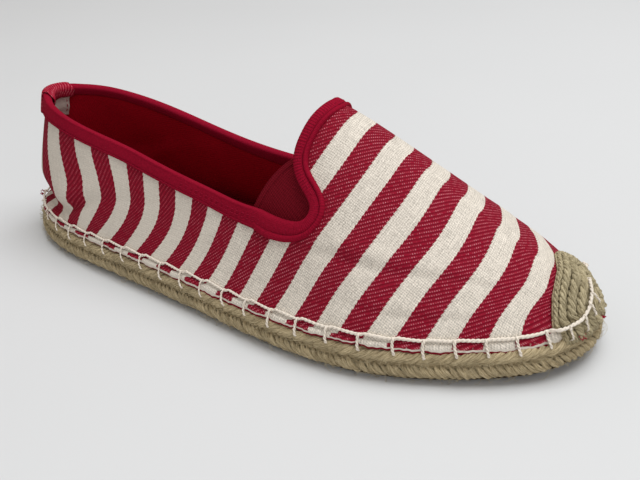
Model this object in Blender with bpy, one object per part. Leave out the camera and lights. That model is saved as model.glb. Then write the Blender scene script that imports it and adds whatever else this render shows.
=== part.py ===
"""Right shoe of a pair of slip-on espadrilles: striped canvas on a braided jute sole.

The foot's length runs along X with the toe at +X, +Y is the inner (medial) side, +Z is up, and the
sole stands on z = 0. One surface, `last_point`, gives the outer face of the canvas. It is read with an
angle round the footprint (0 at the heel, pi at the toe, lateral side first) and a rise from the
feather line (0) to the crown (1). The cap, binding, gores and heel tab are offset from that surface.
"""
import math

import bmesh
import bpy
import numpy as np

MM = 0.001

# Driving dimensions
SOLE_LENGTH = 245 * MM
BALL_WIDTH = 91 * MM
INSTEP_HEIGHT = 70 * MM
FEATHER_HEIGHT = 13 * MM
JUTE_TOP = 11.6 * MM
CANVAS_WALL = 1.5 * MM
GAP = 0.3 * MM

# Outsole and jute
RUBBER_THICKNESS = 2.2 * MM
RUBBER_INSET = 1.8 * MM
WAIST_LIFT = 0.7 * MM
TOE_SPRING = 2.4 * MM
TOE_SPRING_START = 0.74
GROOVE_INSET = 8.0 * MM
GROOVE_WIDTH = 1.6 * MM
GROOVE_DEPTH = 0.7 * MM
HEEL_LUG_END = 0.27
LUG_STEP = 0.006
WAIST_PANEL_END = 0.50
FOREFOOT_PANEL_START = 0.60
INSOLE_THICKNESS = 2.2 * MM
INSOLE_INSET = 7.2 * MM

# Canvas hem that laps over the shoulder of the jute
HEM_DROP = 3.6 * MM
HEM_FLARE = 2.2 * MM
FEATHER_INSET = 3.0 * MM
TOE_EXTRA_INSET = 1.6 * MM

# Trim
TAPE = 0.8 * MM
BINDING_GAP = 0.35 * MM
BINDING_OUTSIDE = 6.9 * MM
BINDING_AT_NOTCH = 5.8 * MM
BINDING_AT_TONGUE = 4.4 * MM
BINDING_INSIDE = 5.5 * MM
CAP_THICKNESS = 1.9 * MM
CAP_START = 0.968
GORE_THICKNESS = 0.9 * MM
GORE_TUCK = 4.0 * MM
GORE_COLUMNS = 17
GORE_BOW = 0.03
TAB_WIDTH = 13 * MM
TAB_OUTSIDE = 9 * MM
TAB_INSIDE = 13 * MM

# Footprint: share of the length from the heel, then half widths as shares of the ball width
FOOTPRINT = (
    # station, lateral, medial
    (0.032, 0.190, 0.195),
    (0.100, 0.302, 0.303),
    (0.220, 0.370, 0.340),
    (0.360, 0.412, 0.320),
    (0.500, 0.460, 0.312),
    (0.640, 0.505, 0.400),
    (0.760, 0.485, 0.515),
    (0.870, 0.375, 0.500),
    (0.948, 0.243, 0.340),
)
HEEL_TIP_OFFSET = -0.020
TOE_TIP_OFFSET = 0.035

# Crown line over the foot: share of the length, height and sideways place in shares of the instep
CROWN = (
    # station, height, side
    (0.00, 1.24, -0.02),
    (0.20, 1.22, -0.01),
    (0.40, 1.17, 0.00),
    (0.55, 1.09, 0.01),
    (0.647, 0.97, 0.02),
    (0.753, 0.750, 0.03),
    (0.857, 0.540, 0.02),
    (0.910, 0.440, 0.02),
    (1.00, 0.29, 0.02),
)
CROWN_HEEL_STATION = 0.12
CROWN_TOE_STATION = 0.955

# Wall sections: each is a Bezier arc from the feather line (0, 0) to the crown (1, 1).
# lean and stand place its lower handle, fullness is how far its upper handle stays from the crown.
WALL_COLUMNS = ("station", "lean", "stand", "fullness")
WALL = (
    # station, lean, stand, fullness
    (0.000, 0.15, 0.36, 0.46),
    (0.060, 0.10, 0.34, 0.46),
    (0.180, 0.20, 0.34, 0.38),
    (0.340, 0.30, 0.30, 0.38),
    (0.500, 0.38, 0.30, 0.42),
    (0.620, 0.28, 0.30, 0.46),
    (0.740, 0.16, 0.33, 0.45),
    (0.860, 0.12, 0.34, 0.41),
    (0.950, 0.08, 0.36, 0.40),
    (1.000, 0.06, 0.38, 0.40),
)

# Topline from the heel to the middle of the throat: station of the wall section, and rise on it
TOPLINE = (
    # station, rise
    (0.000, 0.487),
    (0.050, 0.475),
    (0.110, 0.458),
    (0.220, 0.425),
    (0.340, 0.386),
    (0.440, 0.363),
    (0.545, 0.354),
    (0.603, 0.366),
    (0.631, 0.407),
    (0.638, 0.461),
    (0.619, 0.518),
    (0.596, 0.566),
    (0.586, 0.630),
    (0.585, 0.705),
    (0.587, 0.800),
    (0.590, 0.900),
    (0.591, 1.000),
)
NOTCH_ROW = 6
QUARTER_COLUMNS = 21
TAB_COLUMNS = 24
VAMP_COLUMNS = 18
WALL_ROWS = 8
THROAT_FOOT_STATION = 0.82
FOOT_EASE = 0.6
COLUMN_LEAD = 9 * MM
TONGUE_LEAD = 21 * MM
CROWN_LEAD = 0.25
DOWN_TURN = 0.6
ROW_EASE = 1.3
FOOT_LEAD = 0.35

FULL_TURN = 2 * math.pi


def spline(knots, values, places, period=None):
    """Cubic spline through the knots: closed over a period, or with straight free ends."""
    knots = np.asarray(knots, float)
    values = np.asarray(values, float)
    if period:
        knots = np.append(knots, knots[0] + period)
        values = np.append(values, values[0])
    spans = np.diff(knots)
    slopes = np.diff(values) / spans
    count = len(knots)
    matrix = np.eye(count)
    right = np.zeros(count)
    for i in range(1, count - 1):
        matrix[i, i - 1:i + 2] = spans[i - 1], 2 * (spans[i - 1] + spans[i]), spans[i]
        right[i] = 6 * (slopes[i] - slopes[i - 1])
    if period:
        matrix[0, -1] = -1
        matrix[-1, 0:2] = 2 * spans[0], spans[0]
        matrix[-1, -2:] = spans[-1], 2 * spans[-1]
        right[-1] = 6 * (slopes[0] - slopes[-1])
    bends = np.linalg.solve(matrix, right)
    places = np.asarray(places, float)
    if period:
        places = knots[0] + np.mod(places - knots[0], period)
    i = np.clip(np.searchsorted(knots, places) - 1, 0, count - 2)
    after = places - knots[i]
    before = knots[i + 1] - places
    curve = (bends[i] * before ** 3 + bends[i + 1] * after ** 3) / (6 * spans[i])
    curve += (values[i] / spans[i] - bends[i] * spans[i] / 6) * before
    return curve + (values[i + 1] / spans[i] - bends[i + 1] * spans[i] / 6) * after


def station_angle(station):
    """Angle round the footprint at a share of the length, on the lateral side."""
    return np.arccos(1 - 2 * np.clip(np.asarray(station, float), 0, 1))


def along_x(station):
    return (np.asarray(station, float) - 0.5) * SOLE_LENGTH


def outline_y(angle):
    rows = np.array(FOOTPRINT)
    angles = station_angle(rows[:, 0])
    knots = np.concatenate(([0.0], angles, [math.pi], FULL_TURN - angles[::-1]))
    sides = np.concatenate(([HEEL_TIP_OFFSET], -rows[:, 1], [TOE_TIP_OFFSET], rows[::-1, 2]))
    return spline(knots, sides * BALL_WIDTH, angle, FULL_TURN)


def middle_shift():
    """Sideways shift that puts the middle of the sole's width on y = 0."""
    sides = outline_y(np.linspace(0, FULL_TURN, 721))
    return -(sides.max() + sides.min()) / 2


SIDE_SHIFT = middle_shift()


def outline(angle, inset=0.0):
    """Point of the sole's outline, moved in along its own normal, as x, y and the outward normal."""
    angle = np.asarray(angle, float)
    step = 0.002
    x = -np.cos(angle) * SOLE_LENGTH / 2
    y = outline_y(angle) + SIDE_SHIFT
    along = np.stack((np.sin(angle) * SOLE_LENGTH / 2,
                      (outline_y(angle + step) - outline_y(angle - step)) / (2 * step)), -1)
    along /= np.linalg.norm(along, axis=-1, keepdims=True)
    out = np.stack((along[..., 1], -along[..., 0]), -1)
    return x - out[..., 0] * inset, y - out[..., 1] * inset, out


def spring(x):
    """Lift of the sole towards the toe."""
    run = (x / SOLE_LENGTH + 0.5 - TOE_SPRING_START) / (1 - TOE_SPRING_START)
    return TOE_SPRING * np.clip(run, 0, 1.1) ** 2


def crown(x):
    """Height and sideways place of the line over the middle of the foot."""
    rows = np.array(CROWN)
    height = spline(along_x(rows[:, 0]), rows[:, 1] * INSTEP_HEIGHT, x)
    side = spline(along_x(rows[:, 0]), rows[:, 2] * INSTEP_HEIGHT, x)
    return height, side


def wall_shape(angle, column):
    """One column of the wall table, the same on both sides and smooth round the heel and toe."""
    rows = np.array(WALL)
    angles = station_angle(rows[:, 0])
    values = rows[:, WALL_COLUMNS.index(column)]
    knots = np.concatenate((angles, FULL_TURN - angles[-2:0:-1]))
    return spline(knots, np.concatenate((values, values[-2:0:-1])), angle, FULL_TURN)


def feather_inset(angle):
    """The canvas starts further in at the toe, where the cap covers it."""
    toe = np.clip((-np.cos(angle) - 0.5) / 0.5, 0, 1)
    return FEATHER_INSET + TOE_EXTRA_INSET * toe * toe * (3 - 2 * toe)


def last_point(angle, rise):
    """Outer face of the canvas. A rise below 0 runs down the hem, and above 1 crosses the crown."""
    angle = np.asarray(angle, float)
    rise = np.asarray(rise, float)
    crossed = rise > 1
    angle = np.where(crossed, FULL_TURN - angle, angle)
    rise = np.where(crossed, 2 - rise, rise)
    foot_x, foot_y, out = outline(angle, feather_inset(angle))
    share = (1 - np.cos(angle)) / 2
    crown_x = along_x(CROWN_HEEL_STATION + (CROWN_TOE_STATION - CROWN_HEEL_STATION) * share)
    crown_y = crown(crown_x)[1]
    up = np.clip(rise, 0, 1)
    low = 3 * (1 - up) ** 2 * up
    high = 3 * (1 - up) * up ** 2
    full = up ** 3
    inward = low * wall_shape(angle, "lean") + high * (1 - wall_shape(angle, "fullness")) + full
    upward = low * wall_shape(angle, "stand") + high + full
    hem = np.clip(-rise, 0, 1)
    x = foot_x + (crown_x - foot_x) * inward + out[..., 0] * HEM_FLARE * hem
    y = foot_y + (crown_y - foot_y) * inward + out[..., 1] * HEM_FLARE * hem
    base = FEATHER_HEIGHT + spring(foot_x)
    z = base + (crown(x)[0] - base) * upward - HEM_DROP * hem
    return np.stack((x, y, z), -1)


def surface_turn(angle, rise, step):
    """Change of the surface point with the angle."""
    angle = np.asarray(angle)
    return (last_point(angle + step, rise) - last_point(angle - step, rise)) / (2 * step)


def side_frame(angle, rise):
    """Point, both surface directions and the outward normal, as met from this side of the crown."""
    turn = 0.002
    lift = 0.004
    angle = np.asarray(angle, float)
    rise = np.asarray(rise, float)
    high = np.where(np.abs(rise - 1) < lift, rise, rise + lift)
    low = rise - lift
    across = surface_turn(angle, rise, turn)
    upward = (last_point(angle, high) - last_point(angle, low)) / (high - low)[..., None]
    steady = across + 0.02 * surface_turn(angle, np.where(low > 0.9, 0.9, rise), turn)
    normal = np.cross(steady, upward)
    normal /= np.linalg.norm(normal, axis=-1, keepdims=True)
    return last_point(angle, rise), across, upward, normal


def last_frame(angle, rise):
    """The side frame, with one shared normal where the two sides meet on the crown."""
    point, across, upward, normal = side_frame(angle, rise)
    other = side_frame(FULL_TURN - np.asarray(angle), rise)[3]
    on_crown = np.abs(np.asarray(rise) - 1) < 1e-6
    normal = normal + np.where(on_crown[..., None], other, 0)
    return point, across, upward, normal / np.linalg.norm(normal, axis=-1, keepdims=True)


def offset_point(angle, rise, offset):
    point, _, _, normal = last_frame(angle, rise)
    return point + normal * np.asarray(offset)[..., None]


def follow(angle, rise, target, steps=6):
    """Angle and rise of the surface point nearest each target, starting from the given ones."""
    angle = np.array(angle, float)
    rise = np.array(rise, float)
    for _ in range(steps):
        point, across, upward, _ = last_frame(angle, rise)
        miss = target - point
        aa = (across * across).sum(-1)
        ab = (across * upward).sum(-1)
        bb = (upward * upward).sum(-1)
        am = (across * miss).sum(-1)
        bm = (upward * miss).sum(-1)
        scale = aa * bb - ab * ab
        angle += np.clip((am * bb - bm * ab) / scale, -0.1, 0.1)
        rise += np.clip((bm * aa - am * ab) / scale, -0.1, 0.1)
    return angle, rise


def half_topline(count):
    """Angles and rises along the topline, heel to throat, evenly spaced, and where the notch starts."""
    rows = np.array(TOPLINE)
    angles = station_angle(rows[:, 0])
    angles = np.concatenate((-angles[3:0:-1], angles, angles[-2:-5:-1]))
    rises = np.concatenate((rows[3:0:-1, 1], rows[:, 1], 2 - rows[-2:-5:-1, 1]))
    points = last_point(np.abs(angles), np.minimum(rises, 2 - rises))
    points[:3, 1] = -points[:3, 1]
    reach = np.concatenate(([0], np.cumsum(np.linalg.norm(np.diff(points, axis=0), axis=1))))
    first, last = reach[3], reach[len(rows) + 2]
    fine = np.linspace(first, last, 1200)
    fine_angle = spline(reach, angles, fine)
    fine_rise = spline(reach, rises, fine)
    track = last_point(fine_angle, fine_rise)
    length = np.concatenate(([0], np.cumsum(np.linalg.norm(np.diff(track, axis=0), axis=1))))
    notch = np.interp(reach[3 + NOTCH_ROW], fine, length)
    places = np.concatenate((np.linspace(0, notch, QUARTER_COLUMNS + 1)[:-1],
                             np.linspace(notch, length[-1], count - QUARTER_COLUMNS)))
    return np.interp(places, length, fine_angle), np.interp(places, length, fine_rise)


def full_topline():
    """Closed topline: lateral half heel to throat, then the medial half back to the heel."""
    angle, rise = half_topline(QUARTER_COLUMNS + TAB_COLUMNS + 1)
    angle[0] = 0.0
    rise[-1] = 1.0
    return (np.concatenate((angle, FULL_TURN - angle[-2:0:-1])),
            np.concatenate((rise, rise[-2:0:-1])))


def edge_frames(angle, rise):
    """Topline points with their normals and the surface direction that leads into the canvas."""
    point, _, _, normal = last_frame(angle, rise)
    along = np.roll(point, -1, 0) - np.roll(point, 1, 0)
    along /= np.linalg.norm(along, axis=1, keepdims=True)
    into = np.cross(along, normal)
    return point, normal, into


def wall_grid():
    """Angles and rises of the lateral canvas, feather line to top, in columns from heel to toe.

    Each column is a Bezier curve that leaves the topline square to it and meets the feather line upright.
    """
    edge = QUARTER_COLUMNS + TAB_COLUMNS + 1
    angle, rise = full_topline()
    point, _, into = edge_frames(angle, rise)
    angle, rise = angle[:edge], rise[:edge]
    tab = np.linspace(0, 1, TAB_COLUMNS + 1)
    lead = np.full(edge, COLUMN_LEAD)
    grown = np.clip((tab - 0.3) / 0.3, 0, 1)
    lead[QUARTER_COLUMNS:] += (TONGUE_LEAD - COLUMN_LEAD) * grown * grown * (3 - 2 * grown)
    target = point[:edge] + into[:edge] * lead[:, None]
    lead_angle, lead_rise = follow(angle, np.minimum(rise, 0.98), target)
    lead_rise[-1] = 1.0
    turn = lead_angle - angle
    turn[0] = 0.0
    drop = np.minimum(lead_rise, 1.0) - rise
    throat = angle[-1]
    foot_end = station_angle(THROAT_FOOT_STATION)
    foot = angle.copy()
    foot[QUARTER_COLUMNS:] += (foot_end - foot[QUARTER_COLUMNS:]) * tab ** FOOT_EASE
    vamp = np.linspace(0, 1, VAMP_COLUMNS + 1)[1:]
    foot = np.append(foot, foot_end + (math.pi - foot_end) * vamp)
    top_angle = np.append(angle, throat + (math.pi - throat) * vamp)
    top_rise = np.append(rise, np.ones(VAMP_COLUMNS))
    down = np.clip(vamp / DOWN_TURN, 0, 1)
    turn = np.append(turn, turn[-1] * (1 - down))
    drop = np.append(drop, -CROWN_LEAD * down)
    part = np.linspace(1, 0, WALL_ROWS + 1)[:, None] ** ROW_EASE
    first, second = (1 - part) ** 3, 3 * (1 - part) ** 2 * part
    third, fourth = 3 * (1 - part) * part ** 2, part ** 3
    columns = first * top_angle + second * (top_angle + turn) + (third + fourth) * foot
    rows = first * top_rise + second * (top_rise + drop) + third * top_rise * FOOT_LEAD
    return foot, columns, rows


def make_object(name, verts, faces, material, sharp=40):
    mesh = bpy.data.meshes.new(name)
    mesh.from_pydata([tuple(v) for v in verts], [], faces)
    shaped = bmesh.new()
    shaped.from_mesh(mesh)
    bmesh.ops.remove_doubles(shaped, verts=shaped.verts, dist=0.02 * MM)
    bmesh.ops.dissolve_degenerate(shaped, edges=shaped.edges, dist=0.01 * MM)
    bmesh.ops.recalc_face_normals(shaped, faces=shaped.faces)
    shaped.to_mesh(mesh)
    shaped.free()
    mesh.shade_smooth()
    mesh.set_sharp_from_angle(angle=math.radians(sharp))
    obj = bpy.data.objects.new(name, mesh)
    obj.data.materials.append(material)
    bpy.context.collection.objects.link(obj)
    return obj


def plain_material(name, colour, roughness):
    material = bpy.data.materials.new(name)
    material.use_nodes = True
    shader = material.node_tree.nodes["Principled BSDF"]
    shader.inputs["Base Color"].default_value = (*colour, 1)
    shader.inputs["Roughness"].default_value = roughness
    shader.inputs["Metallic"].default_value = 0
    return material


def grid_faces(rows, columns, index, closed=False, flip=False):
    """Quads between neighbours of a rows by columns grid of vertex numbers."""
    faces = []
    for r in range(rows - 1):
        for c in range(columns if closed else columns - 1):
            after = (c + 1) % columns
            quad = (index(r, c), index(r, after), index(r + 1, after), index(r + 1, c))
            faces.append(quad[::-1] if flip else quad)
    return faces


def ladder_faces(first, count, flip=False):
    """Fill a closed loop whose points run heel to toe and back, rung by rung across the shoe."""
    faces = []
    half = count // 2
    for i in range(half):
        left = (first + i, first + i + 1)
        right = (first + (count - i) % count, first + (count - i - 1) % count)
        face = [left[0], left[1], right[1], right[0]]
        face = list(dict.fromkeys(face))
        if len(face) > 2:
            faces.append(tuple(face[::-1] if flip else face))
    return faces


def ring_solid(name, profile, count, material, lift=spring, sharp=40):
    """Closed solid whose sides follow the outline: profile rows are inset and height."""
    angles = np.arange(count) * FULL_TURN / count
    verts = []
    for inset, height in profile:
        x, y, _ = outline(angles, inset)
        verts.extend(np.stack((x, y, height + lift(x)), -1))
    faces = grid_faces(len(profile), count, lambda r, c: r * count + c, closed=True)
    faces += ladder_faces(0, count, flip=True)
    faces += ladder_faces((len(profile) - 1) * count, count)
    return make_object(name, verts, faces, material, sharp)


def build_outsole(material):
    """Rubber sheet with a heel lug, a lifted waist and a grooved panel in waist and forefoot."""
    step_end = HEEL_LUG_END + LUG_STEP
    zones = (
        # start, end, lift of the tread at each, angles on each side, has a grooved panel
        (0.0, HEEL_LUG_END, 0.0, 0.0, 9, False),
        (HEEL_LUG_END, step_end, 0.0, WAIST_LIFT, 1, False),
        (step_end, WAIST_PANEL_END, WAIST_LIFT, WAIST_LIFT, 7, True),
        (WAIST_PANEL_END, FOREFOOT_PANEL_START, WAIST_LIFT, 0.0, 4, False),
        (FOREFOOT_PANEL_START, 1.0, 0.0, 0.0, 16, True),
    )
    verts = []
    faces = []

    def loop(zone, inset, height, ends=0.0, lifted=True):
        """Open loop of points from the zone's lateral start round to its medial start."""
        start, end, low_lift, high_lift, count, _ = zone
        angles = np.linspace(station_angle(start), station_angle(end), count + 1)
        both = np.concatenate((angles, FULL_TURN - angles[::-1]))
        x, y, _ = outline(both, inset)
        low = along_x(start) + ends
        high = along_x(end) - ends
        x = np.clip(x, low if start > 0 else -1, high if end < 1 else 1)
        if start > 0:
            x[[0, -1]] = low
        if end < 1:
            x[[count, count + 1]] = high
        lift = np.interp(x, (along_x(start), along_x(end)), (low_lift, high_lift)) if lifted else 0
        first = len(verts)
        verts.extend(np.stack((x, y, height + lift + spring(x)), -1))
        return list(range(first, first + len(both)))

    def band(outer, inner, full):
        """Quads between two loops; a full band also closes across the zone's straight ends."""
        count = len(outer)
        for i in range(count if full else count - 1):
            if i == count // 2 - 1 and not full:
                continue
            after = (i + 1) % count
            faces.append((outer[i], outer[after], inner[after], inner[i]))

    def rungs(ring, flip=False):
        count = len(ring)
        for i in range(count // 2 - 1):
            quad = (ring[i], ring[i + 1], ring[count - 2 - i], ring[count - 1 - i])
            faces.append(quad[::-1] if flip else quad)

    for zone in zones:
        tread = loop(zone, RUBBER_INSET, 0.0)
        top = loop(zone, RUBBER_INSET, RUBBER_THICKNESS, lifted=False)
        band(top, tread, False)
        rungs(top)
        if zone[-1]:
            inner = GROOVE_INSET + GROOVE_WIDTH
            rim = loop(zone, RUBBER_INSET + GROOVE_INSET, 0.0, GROOVE_INSET)
            floor_out = loop(zone, RUBBER_INSET + GROOVE_INSET, GROOVE_DEPTH, GROOVE_INSET)
            floor_in = loop(zone, RUBBER_INSET + inner, GROOVE_DEPTH, inner)
            plate = loop(zone, RUBBER_INSET + inner, 0.0, inner)
            rings = (tread, rim, floor_out, floor_in, plate)
            for outer_ring, inner_ring in zip(rings, rings[1:]):
                band(outer_ring, inner_ring, True)
            rungs(plate, flip=True)
        else:
            rungs(tread, flip=True)
    return make_object("outsole", verts, faces, material, 30)


def build_jute_sole(material):
    profile = (
        # inset from the outline, height
        (2.2 * MM, RUBBER_THICKNESS + GAP),
        (0.7 * MM, 3.1 * MM),
        (0.0 * MM, 4.6 * MM),
        (0.1 * MM, 7.0 * MM),
        (0.7 * MM, 8.3 * MM),
        (4.9 * MM, 8.2 * MM),
        (6.2 * MM, 9.8 * MM),
        (7.3 * MM, 11.2 * MM),
        (8.9 * MM, JUTE_TOP),
    )
    return ring_solid("jute_sole", profile, 72, material)


def build_insole(material):
    base = JUTE_TOP + GAP
    profile = (
        (INSOLE_INSET + 2.0 * MM, base),
        (INSOLE_INSET + 0.4 * MM, base + 0.5 * MM),
        (INSOLE_INSET + 0.2 * MM, base + INSOLE_THICKNESS - 0.6 * MM),
        (INSOLE_INSET + 1.0 * MM, base + INSOLE_THICKNESS),
    )
    return ring_solid("insole", profile, 60, material)


def build_upper(material):
    """Canvas shell: two halves of columns that share the heel, toe and crown."""
    foot, wall_angle, wall_rise = wall_grid()
    columns = len(foot)
    angle = np.concatenate((foot[None], foot[None], wall_angle))
    rise = np.concatenate((np.full((1, columns), -1.0), np.full((1, columns), -0.5), wall_rise))
    rows = len(angle)
    verts = []
    faces = []
    for side in (0, 1):
        turned = FULL_TURN - angle if side else angle
        for offset in (0.0, -CANVAS_WALL):
            verts.extend(offset_point(turned, rise, np.full(angle.shape, offset)).reshape(-1, 3))
    size = rows * columns
    for side in (0, 1):
        outer = 2 * side * size
        inner = outer + size
        faces += grid_faces(rows, columns, lambda r, c: outer + r * columns + c, flip=bool(side))
        faces += grid_faces(rows, columns, lambda r, c: inner + r * columns + c, flip=not side)
        for c in range(columns - 1):
            faces.append((outer + c, outer + c + 1, inner + c + 1, inner + c))
        top = (rows - 1) * columns
        for c in range(QUARTER_COLUMNS + TAB_COLUMNS):
            faces.append((outer + top + c, outer + top + c + 1, inner + top + c + 1, inner + top + c))
    return make_object("upper", verts, faces, material)


def build_toe_cap(material):
    """Jute cap cut from the surface by two offsets, from hem to crown, ahead of a curved rear edge."""
    half = 11
    rows = 9
    turn = station_angle(CAP_START)
    angles = np.linspace(turn, math.pi, half + 1)
    angles = np.concatenate((angles, FULL_TURN - angles[-2::-1]))
    columns = len(angles)
    rises = np.concatenate(([-1.0, -0.5], np.linspace(0, 1, rows - 2)))
    angle, rise = np.meshgrid(angles, rises)
    verts = []
    for offset in (GAP, GAP + CAP_THICKNESS):
        verts.extend(offset_point(angle, rise, np.full(angle.shape, offset)).reshape(-1, 3))
    size = rows * columns
    faces = grid_faces(rows, columns, lambda r, c: r * columns + c, flip=True)
    faces += grid_faces(rows, columns, lambda r, c: size + r * columns + c)
    for c in range(columns - 1):
        faces.append((c, c + 1, size + c + 1, size + c))
    for r in range(rows - 1):
        for c in (0, columns - 1):
            low = r * columns + c
            high = low + columns
            faces.append((low, high, size + high, size + low))
    return make_object("toe_cap", verts, faces, material)


def tape_point(angle, rise, frames, reach, offset):
    """Points a reach into the canvas from its edge and an offset out of its outer face."""
    point, normal, into = frames
    reach = np.broadcast_to(reach, angle.shape)
    if reach.max() <= 0:
        return point + into * reach[:, None] + normal * offset
    near_angle, near_rise = follow(angle, rise, point + into * reach[:, None])
    return offset_point(near_angle, near_rise, np.full(len(near_angle), offset))


def outer_leg():
    """Width of the binding's outer leg: full along the quarter, less at the notch, least round the tongue."""
    columns = np.arange(QUARTER_COLUMNS + TAB_COLUMNS + 1) - QUARTER_COLUMNS
    stages = (-30, -4, 1, 9, 15, 60)
    widths = (BINDING_OUTSIDE, BINDING_OUTSIDE, BINDING_AT_NOTCH, BINDING_AT_NOTCH,
              BINDING_AT_TONGUE, BINDING_AT_TONGUE)
    half = np.interp(columns, stages, widths)
    return np.concatenate((half, half[-2:0:-1]))


def tape_profile(outside, inside, gap, thick):
    """Section of a tape folded over the canvas edge: reach and offset of each corner."""
    face_in = -CANVAS_WALL - gap
    middle = -CANVAS_WALL / 2
    return (
        (outside, gap), (outside, gap + thick), (outside / 2, gap + thick), (0.0, gap + thick),
        (-gap - thick, middle + 0.4 * MM), (-gap - thick, middle - 0.4 * MM),
        (0.0, face_in - thick), (inside, face_in - thick), (inside, face_in), (0.0, face_in),
        (-gap, middle), (0.0, gap), (outside / 2, gap),
    )


def build_binding(material):
    angle, rise = full_topline()
    frames = edge_frames(angle, rise)
    profile = tape_profile(outer_leg(), BINDING_INSIDE, BINDING_GAP, TAPE)
    rings = [tape_point(angle, rise, frames, reach, offset) for reach, offset in profile]
    count = len(angle)
    verts = np.concatenate(rings)
    corners = len(profile)
    faces = []
    for r in range(corners):
        after = (r + 1) % corners
        for c in range(count):
            nxt = (c + 1) % count
            faces.append((r * count + c, r * count + nxt, after * count + nxt, after * count + c))
    return make_object("collar_binding", verts, faces, material)


def build_heel_tab(material):
    """Short strip folded over the binding at the middle of the heel."""
    angle, rise = full_topline()
    frames = edge_frames(angle, rise)
    gap = GAP + BINDING_GAP + TAPE
    profile = tape_profile(TAB_OUTSIDE, TAB_INSIDE, gap, TAPE)
    point = frames[0]
    reach = np.abs(point[:, 1] - point[0, 1])
    near = [c for c in range(-8, 9) if reach[c] < TAB_WIDTH / 2 + 2 * MM]
    rings = []
    for depth, offset in profile:
        ring = tape_point(angle, rise, frames, depth, offset)[near]
        side = ring[:, 1]
        order = np.argsort(side)
        places = np.linspace(-TAB_WIDTH / 2, TAB_WIDTH / 2, 5) + point[0, 1]
        rings.append(np.stack([np.interp(places, side[order], ring[order, k]) for k in range(3)], -1))
    count = 5
    corners = len(rings)
    verts = np.concatenate(rings)
    faces = []
    for r in range(corners):
        after = (r + 1) % corners
        for c in range(count - 1):
            faces.append((r * count + c, r * count + c + 1, after * count + c + 1, after * count + c))
    outer = (0, 1, 2, 3, 4, 5, 6, 7)
    inner = (12, 12, 12, 11, 10, 10, 9, 8)
    for c in (0, count - 1):
        for a, b, p, q in zip(outer, outer[1:], inner, inner[1:]):
            face = list(dict.fromkeys((a * count + c, b * count + c, q * count + c, p * count + c)))
            faces.append(tuple(face))
    return make_object("heel_tab", verts, faces, material)


def build_gore(name, medial, material):
    """Elastic web behind the notch, from the quarter's top edge to the edge of the tongue."""
    angle, rise = full_topline()
    frames = edge_frames(angle, rise)
    point, _, into = frames
    first = QUARTER_COLUMNS - 1
    last = QUARTER_COLUMNS + GORE_COLUMNS
    span = np.arange(first, last + 1)
    rim_angle, rim_rise = follow(angle[span], rise[span], (point + into * GORE_TUCK)[span])
    part = np.linspace(0, 1, len(span))
    bow = GORE_BOW * np.sin(math.pi * part)
    free_angle = rim_angle[0] + (rim_angle[-1] - rim_angle[0]) * part - bow
    free_rise = rim_rise[0] + (rim_rise[-1] - rim_rise[0]) * part
    rows = 5
    levels = np.linspace(0, 1, rows)[:, None]
    web_angle = free_angle + (rim_angle - free_angle) * levels
    web_rise = free_rise + (rim_rise - free_rise) * levels
    if medial:
        web_angle = FULL_TURN - web_angle
    columns = len(span)
    depth = CANVAS_WALL + TAPE + GAP + BINDING_GAP
    verts = []
    for offset in (-depth, -depth - GORE_THICKNESS):
        verts.extend(offset_point(web_angle, web_rise, np.full(web_angle.shape, offset)).reshape(-1, 3))
    size = rows * columns
    faces = grid_faces(rows, columns, lambda r, c: r * columns + c)
    faces += grid_faces(rows, columns, lambda r, c: size + r * columns + c, flip=True)
    for r in (0, rows - 1):
        for c in range(columns - 1):
            a = r * columns + c
            faces.append((a, a + 1, size + a + 1, size + a))
    return make_object(name, verts, faces, material)


def clear_scene():
    for obj in list(bpy.data.objects):
        bpy.data.objects.remove(obj)


def main():
    clear_scene()
    rubber = plain_material("rubber", (0.19, 0.13, 0.08), 0.7)
    jute = plain_material("jute", (0.38, 0.31, 0.18), 0.95)
    canvas = plain_material("canvas", (0.62, 0.08, 0.12), 0.85)
    tape = plain_material("binding", (0.42, 0.01, 0.03), 0.8)
    elastic = plain_material("elastic", (0.2, 0.01, 0.03), 0.75)
    lining = plain_material("insole_cloth", (0.2, 0.005, 0.01), 0.85)
    build_outsole(rubber)
    build_jute_sole(jute)
    build_insole(lining)
    build_upper(canvas)
    build_toe_cap(jute)
    build_binding(tape)
    build_heel_tab(tape)
    build_gore("gore_lateral", False, elastic)
    build_gore("gore_medial", True, elastic)


main()
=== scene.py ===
"""Looks of the striped canvas espadrille: cloth, stitching, braided jute, trim, rubber, floor and light.

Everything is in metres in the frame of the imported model: toe at +X, medial side at +Y, floor at z = 0.
The canvas, its trim and the cord are built on one surface, `last_point`, read with an angle round the
footprint (0 at the heel, pi at the toe, lateral side first) and a rise from the feather line to the crown.
"""

import math

import bmesh
import bpy
import numpy as np
from mathutils import Matrix, Vector


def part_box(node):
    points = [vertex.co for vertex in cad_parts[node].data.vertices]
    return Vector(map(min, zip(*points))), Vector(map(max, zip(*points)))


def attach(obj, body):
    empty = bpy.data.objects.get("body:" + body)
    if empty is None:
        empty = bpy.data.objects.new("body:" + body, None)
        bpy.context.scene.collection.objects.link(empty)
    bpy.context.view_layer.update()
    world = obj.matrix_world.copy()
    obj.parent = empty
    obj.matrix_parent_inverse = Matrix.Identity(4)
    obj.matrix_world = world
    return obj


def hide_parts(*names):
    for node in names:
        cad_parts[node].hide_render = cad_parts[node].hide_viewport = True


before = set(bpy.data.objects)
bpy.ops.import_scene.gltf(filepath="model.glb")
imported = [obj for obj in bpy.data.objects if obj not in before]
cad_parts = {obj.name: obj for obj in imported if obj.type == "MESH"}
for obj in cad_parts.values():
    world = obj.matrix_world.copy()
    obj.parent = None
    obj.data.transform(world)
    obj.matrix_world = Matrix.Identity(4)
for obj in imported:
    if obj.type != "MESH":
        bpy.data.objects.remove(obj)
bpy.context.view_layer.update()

MM = 0.001
FULL_TURN = 2 * math.pi

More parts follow.
